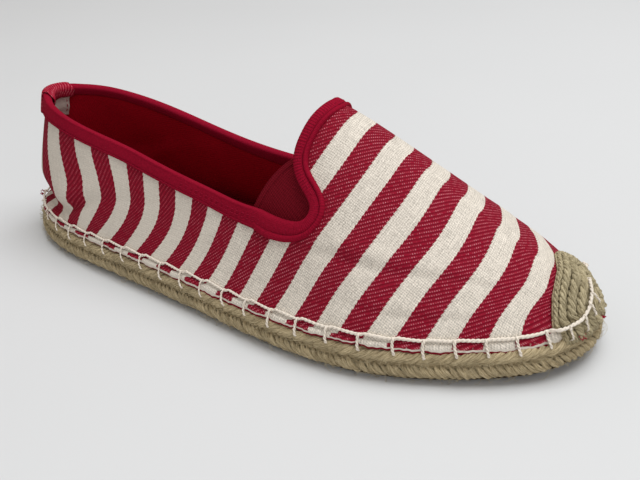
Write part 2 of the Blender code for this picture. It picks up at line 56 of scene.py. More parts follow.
# ---------------------------------------------------------------- driving dimensions
jute_low, jute_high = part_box("jute_sole")
SOLE_LENGTH = jute_high.x - jute_low.x
BALL_WIDTH = 91 * MM
INSTEP_HEIGHT = 70 * MM
FEATHER_HEIGHT = 13 * MM
CANVAS_WALL = 1.5 * MM
TOE_SPRING = 2.4 * MM
TOE_SPRING_START = 0.74
HEM_DROP = 3.6 * MM
HEM_FLARE = 2.2 * MM
FEATHER_INSET = 3.0 * MM
TOE_EXTRA_INSET = 1.6 * MM
HEEL_TIP_OFFSET = -0.020
TOE_TIP_OFFSET = 0.035
CROWN_HEEL_STATION = 0.12
CROWN_TOE_STATION = 0.955

FOOTPRINT = (
    # station, lateral, medial
    (0.032, 0.190, 0.195), (0.100, 0.302, 0.303), (0.220, 0.370, 0.340), (0.360, 0.412, 0.320),
    (0.500, 0.460, 0.312), (0.640, 0.505, 0.400), (0.760, 0.485, 0.515), (0.870, 0.375, 0.500),
    (0.948, 0.243, 0.340),
)
CROWN = (
    # station, height, side
    (0.00, 1.24, -0.02), (0.20, 1.22, -0.01), (0.40, 1.17, 0.00), (0.55, 1.09, 0.01), (0.647, 0.97, 0.02),
    (0.753, 0.750, 0.03), (0.857, 0.540, 0.02), (0.910, 0.440, 0.02), (1.00, 0.29, 0.02),
)
WALL_COLUMNS = ("station", "lean", "stand", "fullness")
WALL = (
    # station, lean, stand, fullness
    (0.000, 0.15, 0.36, 0.46), (0.060, 0.10, 0.34, 0.46), (0.180, 0.20, 0.34, 0.38),
    (0.340, 0.30, 0.30, 0.38), (0.500, 0.38, 0.30, 0.42), (0.620, 0.28, 0.30, 0.46),
    (0.740, 0.16, 0.33, 0.45), (0.860, 0.12, 0.34, 0.41), (0.950, 0.08, 0.36, 0.40),
    (1.000, 0.06, 0.38, 0.40),
)
TOPLINE = (
    # station, rise
    (0.000, 0.487), (0.050, 0.475), (0.110, 0.458), (0.220, 0.425), (0.340, 0.386), (0.440, 0.363),
    (0.545, 0.354), (0.603, 0.366), (0.631, 0.407), (0.638, 0.461), (0.619, 0.518), (0.596, 0.566),
    (0.586, 0.630), (0.585, 0.705), (0.587, 0.800), (0.590, 0.900), (0.591, 1.000),
)
NOTCH_ROW = 6
WALL_SPAN = 85.0  # mm of canvas to a unit of rise beside the foot opening
LATERAL_DIP = (
    # station, mm that the lateral topline hangs below the medial one
    (0.020, 0.0), (0.110, 0.8), (0.190, 1.0), (0.260, 0.3), (0.330, 0.2), (0.400, 0.5), (0.460, 0.9),
    (0.505, 1.0), (0.545, 0.0),
)
FINE = 5
QUARTER_COLUMNS = 21 * FINE
TAB_COLUMNS = 24 * FINE
VAMP_COLUMNS = 18 * FINE
EDGE_COLUMNS = QUARTER_COLUMNS + TAB_COLUMNS + 1
WALL_ROWS = 72
HEM_ROWS = 8
LINING_STEP = 4
THROAT_FOOT_STATION = 0.82
FOOT_EASE = 0.6
COLUMN_LEAD = 9 * MM
TONGUE_LEAD = 21 * MM
CROWN_LEAD = 0.25
DOWN_TURN = 0.6
ROW_EASE = 1.3
FOOT_LEAD = 0.35

# Stripes: where the middle of each red stripe stands, as shares of the length, at six rises
STRIPE_PITCH = 16.0
STRIPE_RISES = (0.06, 0.20, 0.35, 0.60, 0.80, 1.0)
STRIPES = (
    # one red stripe a row: its station at each of the six rises
    (0.095, 0.0665, 0.045, 0.03, 0.0225, 0.02), (0.172, 0.1675, 0.1275, 0.11, 0.1025, 0.1),
    (0.23, 0.247, 0.211, 0.195, 0.191, 0.19), (0.2955, 0.311, 0.288, 0.280, 0.280, 0.280),
    (0.356, 0.3715, 0.358, 0.360, 0.360, 0.360), (0.419, 0.4325, 0.432, 0.445, 0.449, 0.450),
    (0.478, 0.4905, 0.500, 0.530, 0.542, 0.545), (0.541, 0.5525, 0.569, 0.5993, 0.6135, 0.614),
    (0.605, 0.62, 0.637, 0.6672, 0.6785, 0.6765), (0.674, 0.6875, 0.706, 0.7308, 0.7415, 0.741),
    (0.744, 0.7565, 0.7715, 0.7953, 0.804, 0.8035), (0.8175, 0.8275, 0.839, 0.8593, 0.8665, 0.867),
    (0.888, 0.894, 0.9035, 0.921, 0.9283, 0.931), (0.9585, 0.9585, 0.9615, 0.976, 0.9805, 0.9845),
)
# Stripe numbers at the middle of the heel, at the same rises
STRIPES_AT_HEEL = (-2.5, -2.0, -1.4, -1.0, -1.0, -1.0)
# Stations of the red stripes on the hem
HEM_STRIPES = (0.070, 0.1375, 0.2025, 0.2725, 0.335, 0.4015, 0.4625, 0.53, 0.59, 0.6625, 0.73,
               0.81, 0.8825, 0.9515)
HEM_STRIPE_AT_HEEL = -1.6
# The medial side's stripes stand further forward, more so further down from the crown
MEDIAL_SHIFT = 0.09
SHIFT_GROWTH = 2.56
SHIFT_START = 0.306

TAPE_RIB_PITCH = 1.05  # mm, on the binding and the heel tab
GORE_RIB_PITCH = 0.8  # mm

# Binding: widths of its two legs by the column's place past the notch
OUTER_LEG = (
    # place, width in millimetres
    (-21, 6.5), (-17, 5.5), (-12, 5.1), (-5, 5.1), (-1.5, 5.6), (2, 6.8), (4.5, 6.1), (7.5, 4.5), (10, 4.3),
    (60, 4.4),
)
INNER_LEG = (
    # place, width in millimetres
    (-30, 3.2), (-9, 3.5), (0, 5.0), (9, 5.0), (60, 4.6),
)
LEG_PROFILE = (
    # share of the outer leg from the edge, height on the tongue in millimetres
    (1.0, 0.50), (0.965, 1.0), (0.92, 1.34), (0.86, 1.54), (0.79, 1.58), (0.72, 1.48), (0.665, 1.22),
    (0.625, 0.92), (0.585, 0.88), (0.54, 1.05), (0.48, 1.22), (0.40, 1.30), (0.30, 1.34), (0.20, 1.38),
    (0.11, 1.38), (0.04, 1.32),
)
INNER_PROFILE = (
    # share of the inner leg from the edge, depth behind the canvas in millimetres
    (0.03, -0.98), (0.15, -1.05), (0.35, -1.05), (0.6, -1.0), (0.85, -0.92), (0.97, -0.7),
)

# Cut edge of the hem, rolled in below it
ROLLED_EDGE = (
    # rise over the lowest line, offset in millimetres, place past the hem for the cloth's colour
    (0.12, -0.85, 1.3), (0.0, -0.45, 1.15), (-0.03, -0.1, 1.05),
)

# How far down the hem reaches, as a share of its full drop
HEM_REACH = (
    # station, share
    (0.00, 0.50), (0.30, 0.50), (0.40, 0.60), (0.50, 0.75), (0.60, 0.65), (0.75, 0.52),
    (0.85, 0.70), (0.95, 0.95), (1.00, 1.0),
)

# Cord and tie-down stitches
CORD_TWIST = 3.0 * MM
THREAD_TWIST = 2.6 * MM
STITCH_START = 8.2 * MM
STITCH_PITCH = (
    # distance from the heel, pitch, in millimetres
    (0, 10.9), (193, 10.9), (200, 9.8), (205, 9.3), (246, 9.3), (251, 6.1), (258, 6.0), (263, 3.9),
    (272, 3.7),
)
TIE_DOWN = (
    # height over the cord, offset from the wall, in millimetres
    (0.1, -0.5), (0.25, 0.6), (-0.05, 1.15), (-0.9, 1.4), (-1.8, 1.2), (-3.0, 1.05), (-4.2, 1.0),
    (-5.2, 0.75), (-6.0, 0.4), (-6.5, -0.4), (-6.7, -1.4),
)

# Folds in the cloth: station, rise and depth in millimetres along each one
CREASES = (
    ((0.07, 0.045, 0.0), (0.12, 0.06, 1.0), (0.155, 0.081, 1.5), (0.19, 0.135, 0.9), (0.227, 0.181, 0.25),
     (0.327, 0.238, 0.10), (0.391, 0.247, 0.12), (0.498, 0.262, 0.12), (0.56, 0.27, 0.0)),
    ((0.61, 0.29, 0.0), (0.644, 0.308, 0.25), (0.686, 0.340, 0.45), (0.753, 0.373, 0.6), (0.799, 0.414, 0.45),
     (0.870, 0.479, 0.3), (0.957, 0.53, 0.0)),
    ((0.70, 0.17, 0.0), (0.76, 0.16, 0.25), (0.84, 0.19, 0.3), (0.91, 0.26, 0.0)),
)

MEDIAL_CREASE_RISE = 0.06
MEDIAL_CREASE_DEPTH = 0.55
CREASE_SPAN = 50  # mm of cloth to a unit of rise, for the width of a fold

# Rear edge of the toe cap from the lateral hem over the crown to the medial hem: rise, station
CAP_EDGE_LATERAL = (
    (-1.2, 0.981), (-0.2, 0.980), (0.0, 0.975), (0.1, 0.973), (0.3, 0.972), (0.55, 0.972), (0.75, 0.9757),
    (1.0, 0.981),
)
CAP_EDGE_MEDIAL = (
    (-1.2, 0.945), (0.5, 0.945), (0.68, 0.948), (0.77, 0.959), (0.88, 0.970), (1.0, 0.981),
)

# Stations between which the cap begins at the feather line, lateral then medial
CAP_STARTS = ((0.968, 0.976), (0.938, 0.948))

CAP_ROPES = (
    # distance from the cap's rear edge, radius, pitch of the twist, in millimetres; plies, their size
    (0.8, 0.80, 3.6, 2, 0.55), (2.8, 1.35, 5.8, 3, 0.50), (5.6, 1.65, 5.8, 3, 0.50),
    (8.8, 1.75, 5.8, 3, 0.50), (12.2, 1.80, 5.8, 3, 0.50), (15.7, 1.85, 5.8, 3, 0.50),
    (19.2, 1.85, 5.8, 3, 0.50),
)

# Height of the cord round the toe: turn past the tip, rise
TOE_CORD = (
    (-0.45, 0.0), (-0.36, 0.025), (-0.256, 0.047), (-0.207, 0.064), (-0.158, 0.10), (-0.113, 0.172),
    (-0.072, 0.26), (-0.028, 0.36), (0.028, 0.455), (0.085, 0.53), (0.15, 0.555), (0.22, 0.46),
    (0.32, 0.22), (0.45, 0.0),
)

# Wall of the sole from the floor up: height and inset from the outline
SIDE_WALL = (
    # height, inset, in millimetres
    (0.0, 2.4), (1.0, 1.2), (2.0, 0.5), (3.4, 0.1), (4.8, 0.0), (6.8, 0.3), (8.3, 0.5), (9.4, 0.9),
    (11.2, 1.9), (13.0, 3.0),
)

# First numbers of each group of strands, which vary their colour
PLY_NUMBERS = 100
ROW_NUMBERS = 1000
ROPE_NUMBERS = 2000
BASE_NUMBER = 3000.0
CORE_NUMBER = 5000.0

# Jute strands on the sole's side: an upper and a lower row that meet in a groove
STRAND_SPACING = 2.15 * MM
FIBRE_COUNT = 1500
FRAY_COUNT = 11
STRAND_ROWS = (
    # first and last height, lean, half width, half thickness, sink at the end, in millimetres; where the
    # sink starts, as a share; twist
    (6.9, 11.0, 7.6, 1.02, 0.72, 1.0, 0.75, -0.4),
    (6.7, 0.9, 5.2, 1.00, 0.78, 0.3, 0.8, 0.45),
)
CORE_PROFILE = (
    # inset and height in millimetres, share of the toe's extra inset
    (7.0, 2.3, 0), (2.4, 2.3, 0), (1.7, 3.2, 0), (1.3, 5.0, 0), (1.7, 7.0, 0), (1.9, 8.6, 0), (3.0, 10.4, 0),
    (4.6, 11.0, 1), (6.5, 11.3, 1), (9.0, 11.6, 1),
)
INSOLE_PROFILE = (
    # inset, height, in millimetres
    (9.2, 11.95), (7.7, 12.3), (7.3, 13.0), (7.5, 13.7), (8.4, 14.1), (10.5, 14.15), (14.0, 13.95),
    (18.0, 13.8), (24.0, 13.7),
)

# Rubber tread, in millimetres
TREAD_THICKNESS = 2.2
HEEL_RIB_PITCH = 2.8
HEEL_RIB_DEPTH = 0.45
FINE_RIB_PITCH = 1.9
FINE_RIB_DEPTH = 0.22
GROOVE_DEPTH = 0.7
TREAD_INSETS = (3.0, 3.2, 4.0, 5.5, 7.6, 9.7, 9.9, 11.3, 11.5)

# Camera and light
CAMERA_TURNS = (33.89, 27.66, -2.96)  # azimuth, elevation and roll in degrees
CAMERA_DISTANCE = 350.9 * MM
CAMERA_TARGET = Vector((1.4, 27.5, 0)) * MM
SENSOR_WIDTH = 36
FOCAL_RATIO = 850 / 640  # focal length to sensor width
FLOOR_SIZE = 4.0
FLOOR_GREY = (0.635, 0.645, 0.655)
SKY_COLOUR = (1.0, 0.935, 0.88, 1)
SKY_STRENGTH = 0.40
LIGHT_COLOUR = (0.97, 0.99, 1.0)
LIGHT_TARGET = Vector((0, 0, 0.03))
LIGHTS = (
    # name, place, size in metres, power in watts
    ("key", (0.28, 0.30, 1.36), 1.15, 18.8), ("fill", (0.65, -0.68, 0.55), 0.9, 2.3),
)


# ---------------------------------------------------------------- the last's surface
def spline(knots, values, places, period=None):
    """Cubic spline through the knots: closed over a period, or with straight free ends."""
    knots = np.asarray(knots, float)
    values = np.asarray(values, float)
    if period:
        knots = np.append(knots, knots[0] + period)
        values = np.append(values, values[0])
    spans = np.diff(knots)
    slopes = np.diff(values) / spans
    count = len(knots)
    matrix = np.eye(count)
    right = np.zeros(count)
    for i in range(1, count - 1):
        matrix[i, i - 1:i + 2] = spans[i - 1], 2 * (spans[i - 1] + spans[i]), spans[i]
        right[i] = 6 * (slopes[i] - slopes[i - 1])
    if period:
        matrix[0, -1] = -1
        matrix[-1, 0:2] = 2 * spans[0], spans[0]
        matrix[-1, -2:] = spans[-1], 2 * spans[-1]
        right[-1] = 6 * (slopes[0] - slopes[-1])
    bends = np.linalg.solve(matrix, right)
    places = np.asarray(places, float)
    if period:
        places = knots[0] + np.mod(places - knots[0], period)
    i = np.clip(np.searchsorted(knots, places) - 1, 0, count - 2)
    after = places - knots[i]
    before = knots[i + 1] - places
    curve = (bends[i] * before ** 3 + bends[i + 1] * after ** 3) / (6 * spans[i])
    curve += (values[i] / spans[i] - bends[i] * spans[i] / 6) * before
    return curve + (values[i + 1] / spans[i] - bends[i + 1] * spans[i] / 6) * after


def smooth_step(value, low, high):
    """0 below low, 1 above high, smooth between."""
    part = np.clip((np.asarray(value, float) - low) / (high - low), 0, 1)
    return part * part * (3 - 2 * part)


def path_length(points, axis=0):
    """Running length along lines of points, from 0."""
    steps = np.cumsum(np.linalg.norm(np.diff(points, axis=axis), axis=-1), axis)
    return np.concatenate((np.zeros_like(np.take(steps, [0], axis)), steps), axis)


def sample(places, knots, rows):
    """Points or directions read off at places between the knots."""
    return np.stack([np.interp(places, knots, rows[:, k]) for k in range(3)], -1)


def as_points(*columns):
    """Columns spread to one shape and put side by side along a new last axis."""
    return np.stack(np.broadcast_arrays(*columns), -1)


def station_angle(station):
    return np.arccos(1 - 2 * np.clip(np.asarray(station, float), 0, 1))


def angle_station(angle):
    return (1 - np.cos(angle)) / 2


def along_x(station):
    return (np.asarray(station, float) - 0.5) * SOLE_LENGTH


def outline_y(angle):
    """Sideways place of the sole's outline, before its width is centred."""
    rows = np.array(FOOTPRINT)
    angles = station_angle(rows[:, 0])
    knots = np.concatenate(([0.0], angles, [math.pi], FULL_TURN - angles[::-1]))
    sides = np.concatenate(([HEEL_TIP_OFFSET], -rows[:, 1], [TOE_TIP_OFFSET], rows[::-1, 2]))
    return spline(knots, sides * BALL_WIDTH, angle, FULL_TURN)


def middle_shift():
    """Sideways shift that puts the middle of the sole's width on y = 0."""
    sides = outline_y(np.linspace(0, FULL_TURN, 721))
    return -(sides.max() + sides.min()) / 2


SIDE_SHIFT = middle_shift()


def outline(angle, inset=0.0):
    """Point of the sole's outline, moved in along its own normal, as x, y and the outward normal."""
    angle = np.asarray(angle, float)
    step = 0.002
    x = -np.cos(angle) * SOLE_LENGTH / 2
    y = outline_y(angle) + SIDE_SHIFT
    along = np.stack((np.sin(angle) * SOLE_LENGTH / 2,
                      (outline_y(angle + step) - outline_y(angle - step)) / (2 * step)), -1)
    along /= np.linalg.norm(along, axis=-1, keepdims=True)
    out = np.stack((along[..., 1], -along[..., 0]), -1)
    return x - out[..., 0] * inset, y - out[..., 1] * inset, out


def spring(x):
    """Lift of the sole towards the toe."""
    run = (x / SOLE_LENGTH + 0.5 - TOE_SPRING_START) / (1 - TOE_SPRING_START)
    return TOE_SPRING * np.clip(run, 0, 1.1) ** 2


def crown(x):
    """Height and sideways place of the line over the middle of the foot."""
    rows = np.array(CROWN)
    height = spline(along_x(rows[:, 0]), rows[:, 1] * INSTEP_HEIGHT, x)
    side = spline(along_x(rows[:, 0]), rows[:, 2] * INSTEP_HEIGHT, x)
    return height, side


def wall_shape(angle, column):
    """One column of the wall table, the same on both sides and smooth round the heel and toe."""
    rows = np.array(WALL)
    angles = station_angle(rows[:, 0])
    values = rows[:, WALL_COLUMNS.index(column)]
    knots = np.concatenate((angles, FULL_TURN - angles[-2:0:-1]))
    return spline(knots, np.concatenate((values, values[-2:0:-1])), angle, FULL_TURN)


def toe_share(angle):
    """0 behind the toe, 1 at its tip."""
    return smooth_step(-np.cos(angle), 0.5, 1)


def feather_inset(angle):
    """How far the feather line stands in from the sole's outline."""
    return FEATHER_INSET + TOE_EXTRA_INSET * toe_share(angle)


def last_point(angle, rise):
    """Outer face of the canvas. A rise below 0 runs down the hem, and above 1 crosses the crown."""
    angle = np.asarray(angle, float)
    rise = np.asarray(rise, float)
    crossed = rise > 1
    angle = np.where(crossed, FULL_TURN - angle, angle)
    rise = np.where(crossed, 2 - rise, rise)
    foot_x, foot_y, out = outline(angle, feather_inset(angle))
    share = angle_station(angle)
    crown_x = along_x(CROWN_HEEL_STATION + (CROWN_TOE_STATION - CROWN_HEEL_STATION) * share)
    crown_y = crown(crown_x)[1]
    up = np.clip(rise, 0, 1)
    low = 3 * (1 - up) ** 2 * up
    high = 3 * (1 - up) * up ** 2
    full = up ** 3
    inward = low * wall_shape(angle, "lean") + high * (1 - wall_shape(angle, "fullness")) + full
    upward = low * wall_shape(angle, "stand") + high + full
    hem = np.clip(-rise, 0, 4)
    x = foot_x + (crown_x - foot_x) * inward + out[..., 0] * HEM_FLARE * hem
    y = foot_y + (crown_y - foot_y) * inward + out[..., 1] * HEM_FLARE * hem
    base = FEATHER_HEIGHT + spring(foot_x)
    z = base + (crown(x)[0] - base) * upward - HEM_DROP * hem
    return np.stack((x, y, z), -1)


def surface_turn(angle, rise, step):
    """Change of the surface point with the angle."""
    angle = np.asarray(angle)
    return (last_point(angle + step, rise) - last_point(angle - step, rise)) / (2 * step)


def unit(vectors):
    return vectors / np.maximum(np.linalg.norm(vectors, axis=-1, keepdims=True), 1e-12)


def side_frame(angle, rise):
    """Point, both surface directions and the outward normal, as met from this side of the crown."""
    turn = 0.002
    lift = 0.004
    angle = np.asarray(angle, float)
    rise = np.asarray(rise, float)
    high = np.where(np.abs(rise - 1) < lift, rise, rise + lift)
    low = rise - lift
    across = surface_turn(angle, rise, turn)
    upward = (last_point(angle, high) - last_point(angle, low)) / (high - low)[..., None]
    steady = across + 0.02 * surface_turn(angle, np.where(low > 0.9, 0.9, rise), turn)
    return last_point(angle, rise), across, upward, unit(np.cross(steady, upward))


def last_frame(angle, rise):
    """The side frame, with one shared normal where the two sides meet on the crown."""
    point, across, upward, normal = side_frame(angle, rise)
    other = side_frame(FULL_TURN - np.asarray(angle), rise)[3]
    on_crown = np.abs(np.asarray(rise) - 1) < 1e-6
    return point, across, upward, unit(normal + np.where(on_crown[..., None], other, 0))


def follow(angle, rise, target):
    """Angle and rise of the surface point nearest each target, starting from the given ones."""
    angle = np.array(angle, float)
    rise = np.array(rise, float)
    for _ in range(6):
        point, across, upward, _ = last_frame(angle, rise)
        miss = target - point
        across_square = (across * across).sum(-1)
        upward_square = (upward * upward).sum(-1)
        shared = (across * upward).sum(-1)
        across_miss = (across * miss).sum(-1)
        upward_miss = (upward * miss).sum(-1)
        scale = across_square * upward_square - shared * shared
        angle += np.clip((across_miss * upward_square - upward_miss * shared) / scale, -0.1, 0.1)
        rise += np.clip((upward_miss * across_square - across_miss * shared) / scale, -0.1, 0.1)
    return angle, rise


def half_topline():
    """Angles and rises along the topline from the heel to the middle of the throat."""
    rows = np.array(TOPLINE)
    angles = station_angle(rows[:, 0])
    angles = np.concatenate((-angles[3:0:-1], angles, angles[-2:-5:-1]))
    rises = np.concatenate((rows[3:0:-1, 1], rows[:, 1], 2 - rows[-2:-5:-1, 1]))
    points = last_point(np.abs(angles), np.minimum(rises, 2 - rises))
    points[:3, 1] = -points[:3, 1]
    reach = path_length(points)
    fine = np.linspace(reach[3], reach[len(rows) + 2], 1200)
    fine_angle = spline(reach, angles, fine)
    fine_rise = spline(reach, rises, fine)
    length = path_length(last_point(fine_angle, fine_rise))
    notch = np.interp(reach[3 + NOTCH_ROW], fine, length)
    places = np.concatenate((np.linspace(0, notch, QUARTER_COLUMNS + 1)[:-1],
                             np.linspace(notch, length[-1], TAB_COLUMNS + 1)))
    angle = np.interp(places, length, fine_angle)
    rise = np.interp(places, length, fine_rise)
    angle[0] = 0.0
    rise[-1] = 1.0
    return angle, rise


def both_halves(half):
    """Values for the closed topline from those of its lateral half."""
    return np.concatenate((half, half[-2:0:-1]))


class Topline:
    """The closed top edge in columns: the lateral half from heel to throat, then the medial half back.

    tongue is 0 along the quarters and 1 round the tongue, ribbed is 1 on the tongue's straight edges,
    where the tape shows ribs, and tip is 1 at the tongue's end.
    """

    def __init__(self, dipped=True):
        angle, rise = half_topline()
        rows = np.array(LATERAL_DIP)
        share = np.clip(angle_station(angle[:QUARTER_COLUMNS]), rows[0, 0], rows[-1, 0])
        dip = np.maximum(spline(rows[:, 0], rows[:, 1], share), 0.0) / WALL_SPAN
        lateral = rise.copy()
        lateral[:QUARTER_COLUMNS] -= dip * dipped
        self.angle = np.concatenate((angle, FULL_TURN - angle[-2:0:-1]))
        self.rise = np.concatenate((lateral, rise[-2:0:-1]))
        self.point, _, _, self.normal = last_frame(self.angle, self.rise)
        ahead = unit(np.roll(self.point, -1, 0) - np.roll(self.point, 1, 0))
        self.into = np.cross(ahead, self.normal)
        place = both_halves(np.arange(EDGE_COLUMNS) - QUARTER_COLUMNS) / FINE
        self.tongue = smooth_step(place, -3, 5)
        self.ribbed = smooth_step(place, 9, 13) * (1 - 0.8 * smooth_step(place, 22.5, 24))
        self.outer_leg = np.interp(place, *np.array(OUTER_LEG).T) * MM
        self.inner_leg = np.interp(place, *np.array(INNER_LEG).T) * MM
        self.tip = smooth_step(self.rise, 0.80, 0.97)

    def tape(self, reach, offset):
        """Points a reach into the canvas from the edge and an offset out of its outer face."""
        reach = np.broadcast_to(reach, self.angle.shape)
        offset = np.broadcast_to(offset, self.angle.shape)[:, None]
        target = self.point + self.into * reach[:, None]
        if reach.max() <= 0:
            return target + self.normal * offset
        near, _, _, normal = last_frame(*follow(self.angle, self.rise, target))
        return near + normal * offset


TOP = Topline()


def wall_grid(medial):
    """Angles and rises of one side's canvas, feather line to top, in columns from heel to toe."""
    top = Topline(not medial)
    angle, rise = top.angle[:EDGE_COLUMNS], top.rise[:EDGE_COLUMNS]
    tab = np.linspace(0, 1, TAB_COLUMNS + 1)
    lead = np.full(EDGE_COLUMNS, COLUMN_LEAD)
    lead[QUARTER_COLUMNS:] += (TONGUE_LEAD - COLUMN_LEAD) * smooth_step(tab, 0.3, 0.6)
    target = top.point[:EDGE_COLUMNS] + top.into[:EDGE_COLUMNS] * lead[:, None]
    lead_angle, lead_rise = follow(angle, np.minimum(rise, 0.98), target)
    lead_rise[-1] = 1.0
    turn = lead_angle - angle
    turn[0] = 0.0
    drop = np.minimum(lead_rise, 1.0) - rise
    throat = angle[-1]
    foot_end = station_angle(THROAT_FOOT_STATION)
    foot = angle.copy()
    foot[QUARTER_COLUMNS:] += (foot_end - foot[QUARTER_COLUMNS:]) * tab ** FOOT_EASE
    vamp = np.linspace(0, 1, VAMP_COLUMNS + 1)[1:]
    foot = np.append(foot, foot_end + (math.pi - foot_end) * vamp)
    top_angle = np.append(angle, throat + (math.pi - throat) * vamp)
    top_rise = np.append(rise, np.ones(VAMP_COLUMNS))
    down = np.clip(vamp / DOWN_TURN, 0, 1)
    turn = np.append(turn, turn[-1] * (1 - down))
    drop = np.append(drop, -CROWN_LEAD * down)
    part = np.linspace(1, 0, WALL_ROWS + 1)[:, None] ** ROW_EASE
    first, second = (1 - part) ** 3, 3 * (1 - part) ** 2 * part
    third, fourth = 3 * (1 - part) * part ** 2, part ** 3
    columns = first * top_angle + second * (top_angle + turn) + (third + fourth) * foot
    rows = first * top_rise + second * (top_rise + drop) + third * top_rise * FOOT_LEAD
    return foot, columns, rows


# ---------------------------------------------------------------- measures on the surface
GIRTH_COLUMNS = 360
GIRTH_ROWS = 100


def girth_grid():
    """Distance from the crown down the wall, on a grid of angles and rises."""
    angles = np.linspace(0, FULL_TURN, GIRTH_COLUMNS + 1)
    points = last_point(*np.meshgrid(angles, np.linspace(-1, 1, GIRTH_ROWS + 1)))
    return path_length(points[::-1])[::-1]


GIRTH = girth_grid()


def girth(angle, rise):
    """Signed distance from the crown, in metres: below zero on the lateral side, above on the medial side."""
    column = np.clip(angle / FULL_TURN * GIRTH_COLUMNS, 0, GIRTH_COLUMNS - 0.001)
    row = np.clip((rise + 1) / 2 * GIRTH_ROWS, 0, GIRTH_ROWS - 0.001)
    left, below = column.astype(int), row.astype(int)
    across, up = column - left, row - below
    low = GIRTH[below, left] * (1 - across) + GIRTH[below, left + 1] * across
    high = GIRTH[below + 1, left] * (1 - across) + GIRTH[below + 1, left + 1] * across
    return (low * (1 - up) + high * up) * np.where(angle > math.pi, 1, -1)


def outline_length():
    """Angles and lengths round the feather line, from the heel and back."""
    angles = np.linspace(0, FULL_TURN, 2881)
    return angles, path_length(last_point(angles, np.zeros(len(angles))))


FOOT_ANGLES, FOOT_LENGTHS = outline_length()
FOOT_TOTAL = FOOT_LENGTHS[-1]
TOE_LENGTH = FOOT_LENGTHS[len(FOOT_LENGTHS) // 2]


def angle_at(length):
    return np.interp(np.mod(length, FOOT_TOTAL), FOOT_LENGTHS, FOOT_ANGLES)


def length_at(angle):
    return np.interp(angle, FOOT_ANGLES, FOOT_LENGTHS)


def stitch_lengths():
    """Places of the tie-down stitches round the feather line, the same on both sides."""
    places = []
    place = STITCH_START
    table = np.array(STITCH_PITCH) * MM
    while place < TOE_LENGTH + 1 * MM:
        places.append(place)
        place += np.interp(place, table[:, 0], table[:, 1])
    places = np.array(places)
    return np.concatenate((places, FOOT_TOTAL - places[::-1]))


STITCHES = stitch_lengths()


def stitch_phase(length):
    """0 just past a tie-down stitch, 1 at the next one."""
    after = np.searchsorted(STITCHES, length) % len(STITCHES)
    high = np.where(STITCHES[after] < length, STITCHES[after] + FOOT_TOTAL, STITCHES[after])
    low = STITCHES[after - 1]
    low = np.where(low > length, low - FOOT_TOTAL, low)
    return (length - low) / (high - low)


def stitch_gap(length):
    """0 at a tie-down stitch, 1 halfway between two."""
    return np.sin(math.pi * stitch_phase(length))


def stripe_place(angle, rise):
    """Number of stripes from the first: whole in the middle of a red stripe, half in a white one."""
    medial = angle > math.pi
    share = angle_station(angle)
    fade = smooth_step(share, 0.15, 0.4) * (1 - 0.6 * smooth_step(share, 0.86, 1.0))
    past = 1 - np.clip(rise, 0, 1)
    slide = MEDIAL_SHIFT * (1 - np.exp(-SHIFT_GROWTH * past ** 2 / (past + SHIFT_START))) * fade
    turn = station_angle(share + np.where(medial, slide, 0))
    count = len(STRIPES)
    values = np.concatenate(([0.0], np.arange(count), [count]))
    place = np.zeros(np.shape(angle))
    for level, heel in enumerate(STRIPES_AT_HEEL):
        values[0] = heel
        knots = np.concatenate(([0.0], station_angle([row[level] for row in STRIPES]), [math.pi]))
        weight = spline(STRIPE_RISES, np.eye(len(STRIPE_RISES))[level], np.clip(rise, 0, 1))
        place += weight * spline(knots, values, turn)
    values[0] = HEM_STRIPE_AT_HEEL
    on_hem = spline(np.concatenate(([0.0], station_angle(HEM_STRIPES), [math.pi])), values, turn)
    return np.where(rise < 0, place + (on_hem - place) * smooth_step(-rise, 0, 0.06), place)


def hem_reach(angle):
    """How far down the hem ends, as a share of its full drop: ragged, and longer between stitches."""
    rows = np.array(HEM_REACH)
    share = angle_station(angle)
    length = length_at(angle)
    ragged = 0.035 * np.sin(length / MM * 0.9) + 0.03 * np.sin(length / MM * 2.3 + 1)
    return np.interp(share, rows[:, 0], rows[:, 1]) + ragged + 0.08 * (stitch_gap(length) - 0.6)


# ---------------------------------------------------------------- mesh building
def add_object(name, data):
    made = bpy.data.objects.new(name, data)
    bpy.context.collection.objects.link(made)
    return made


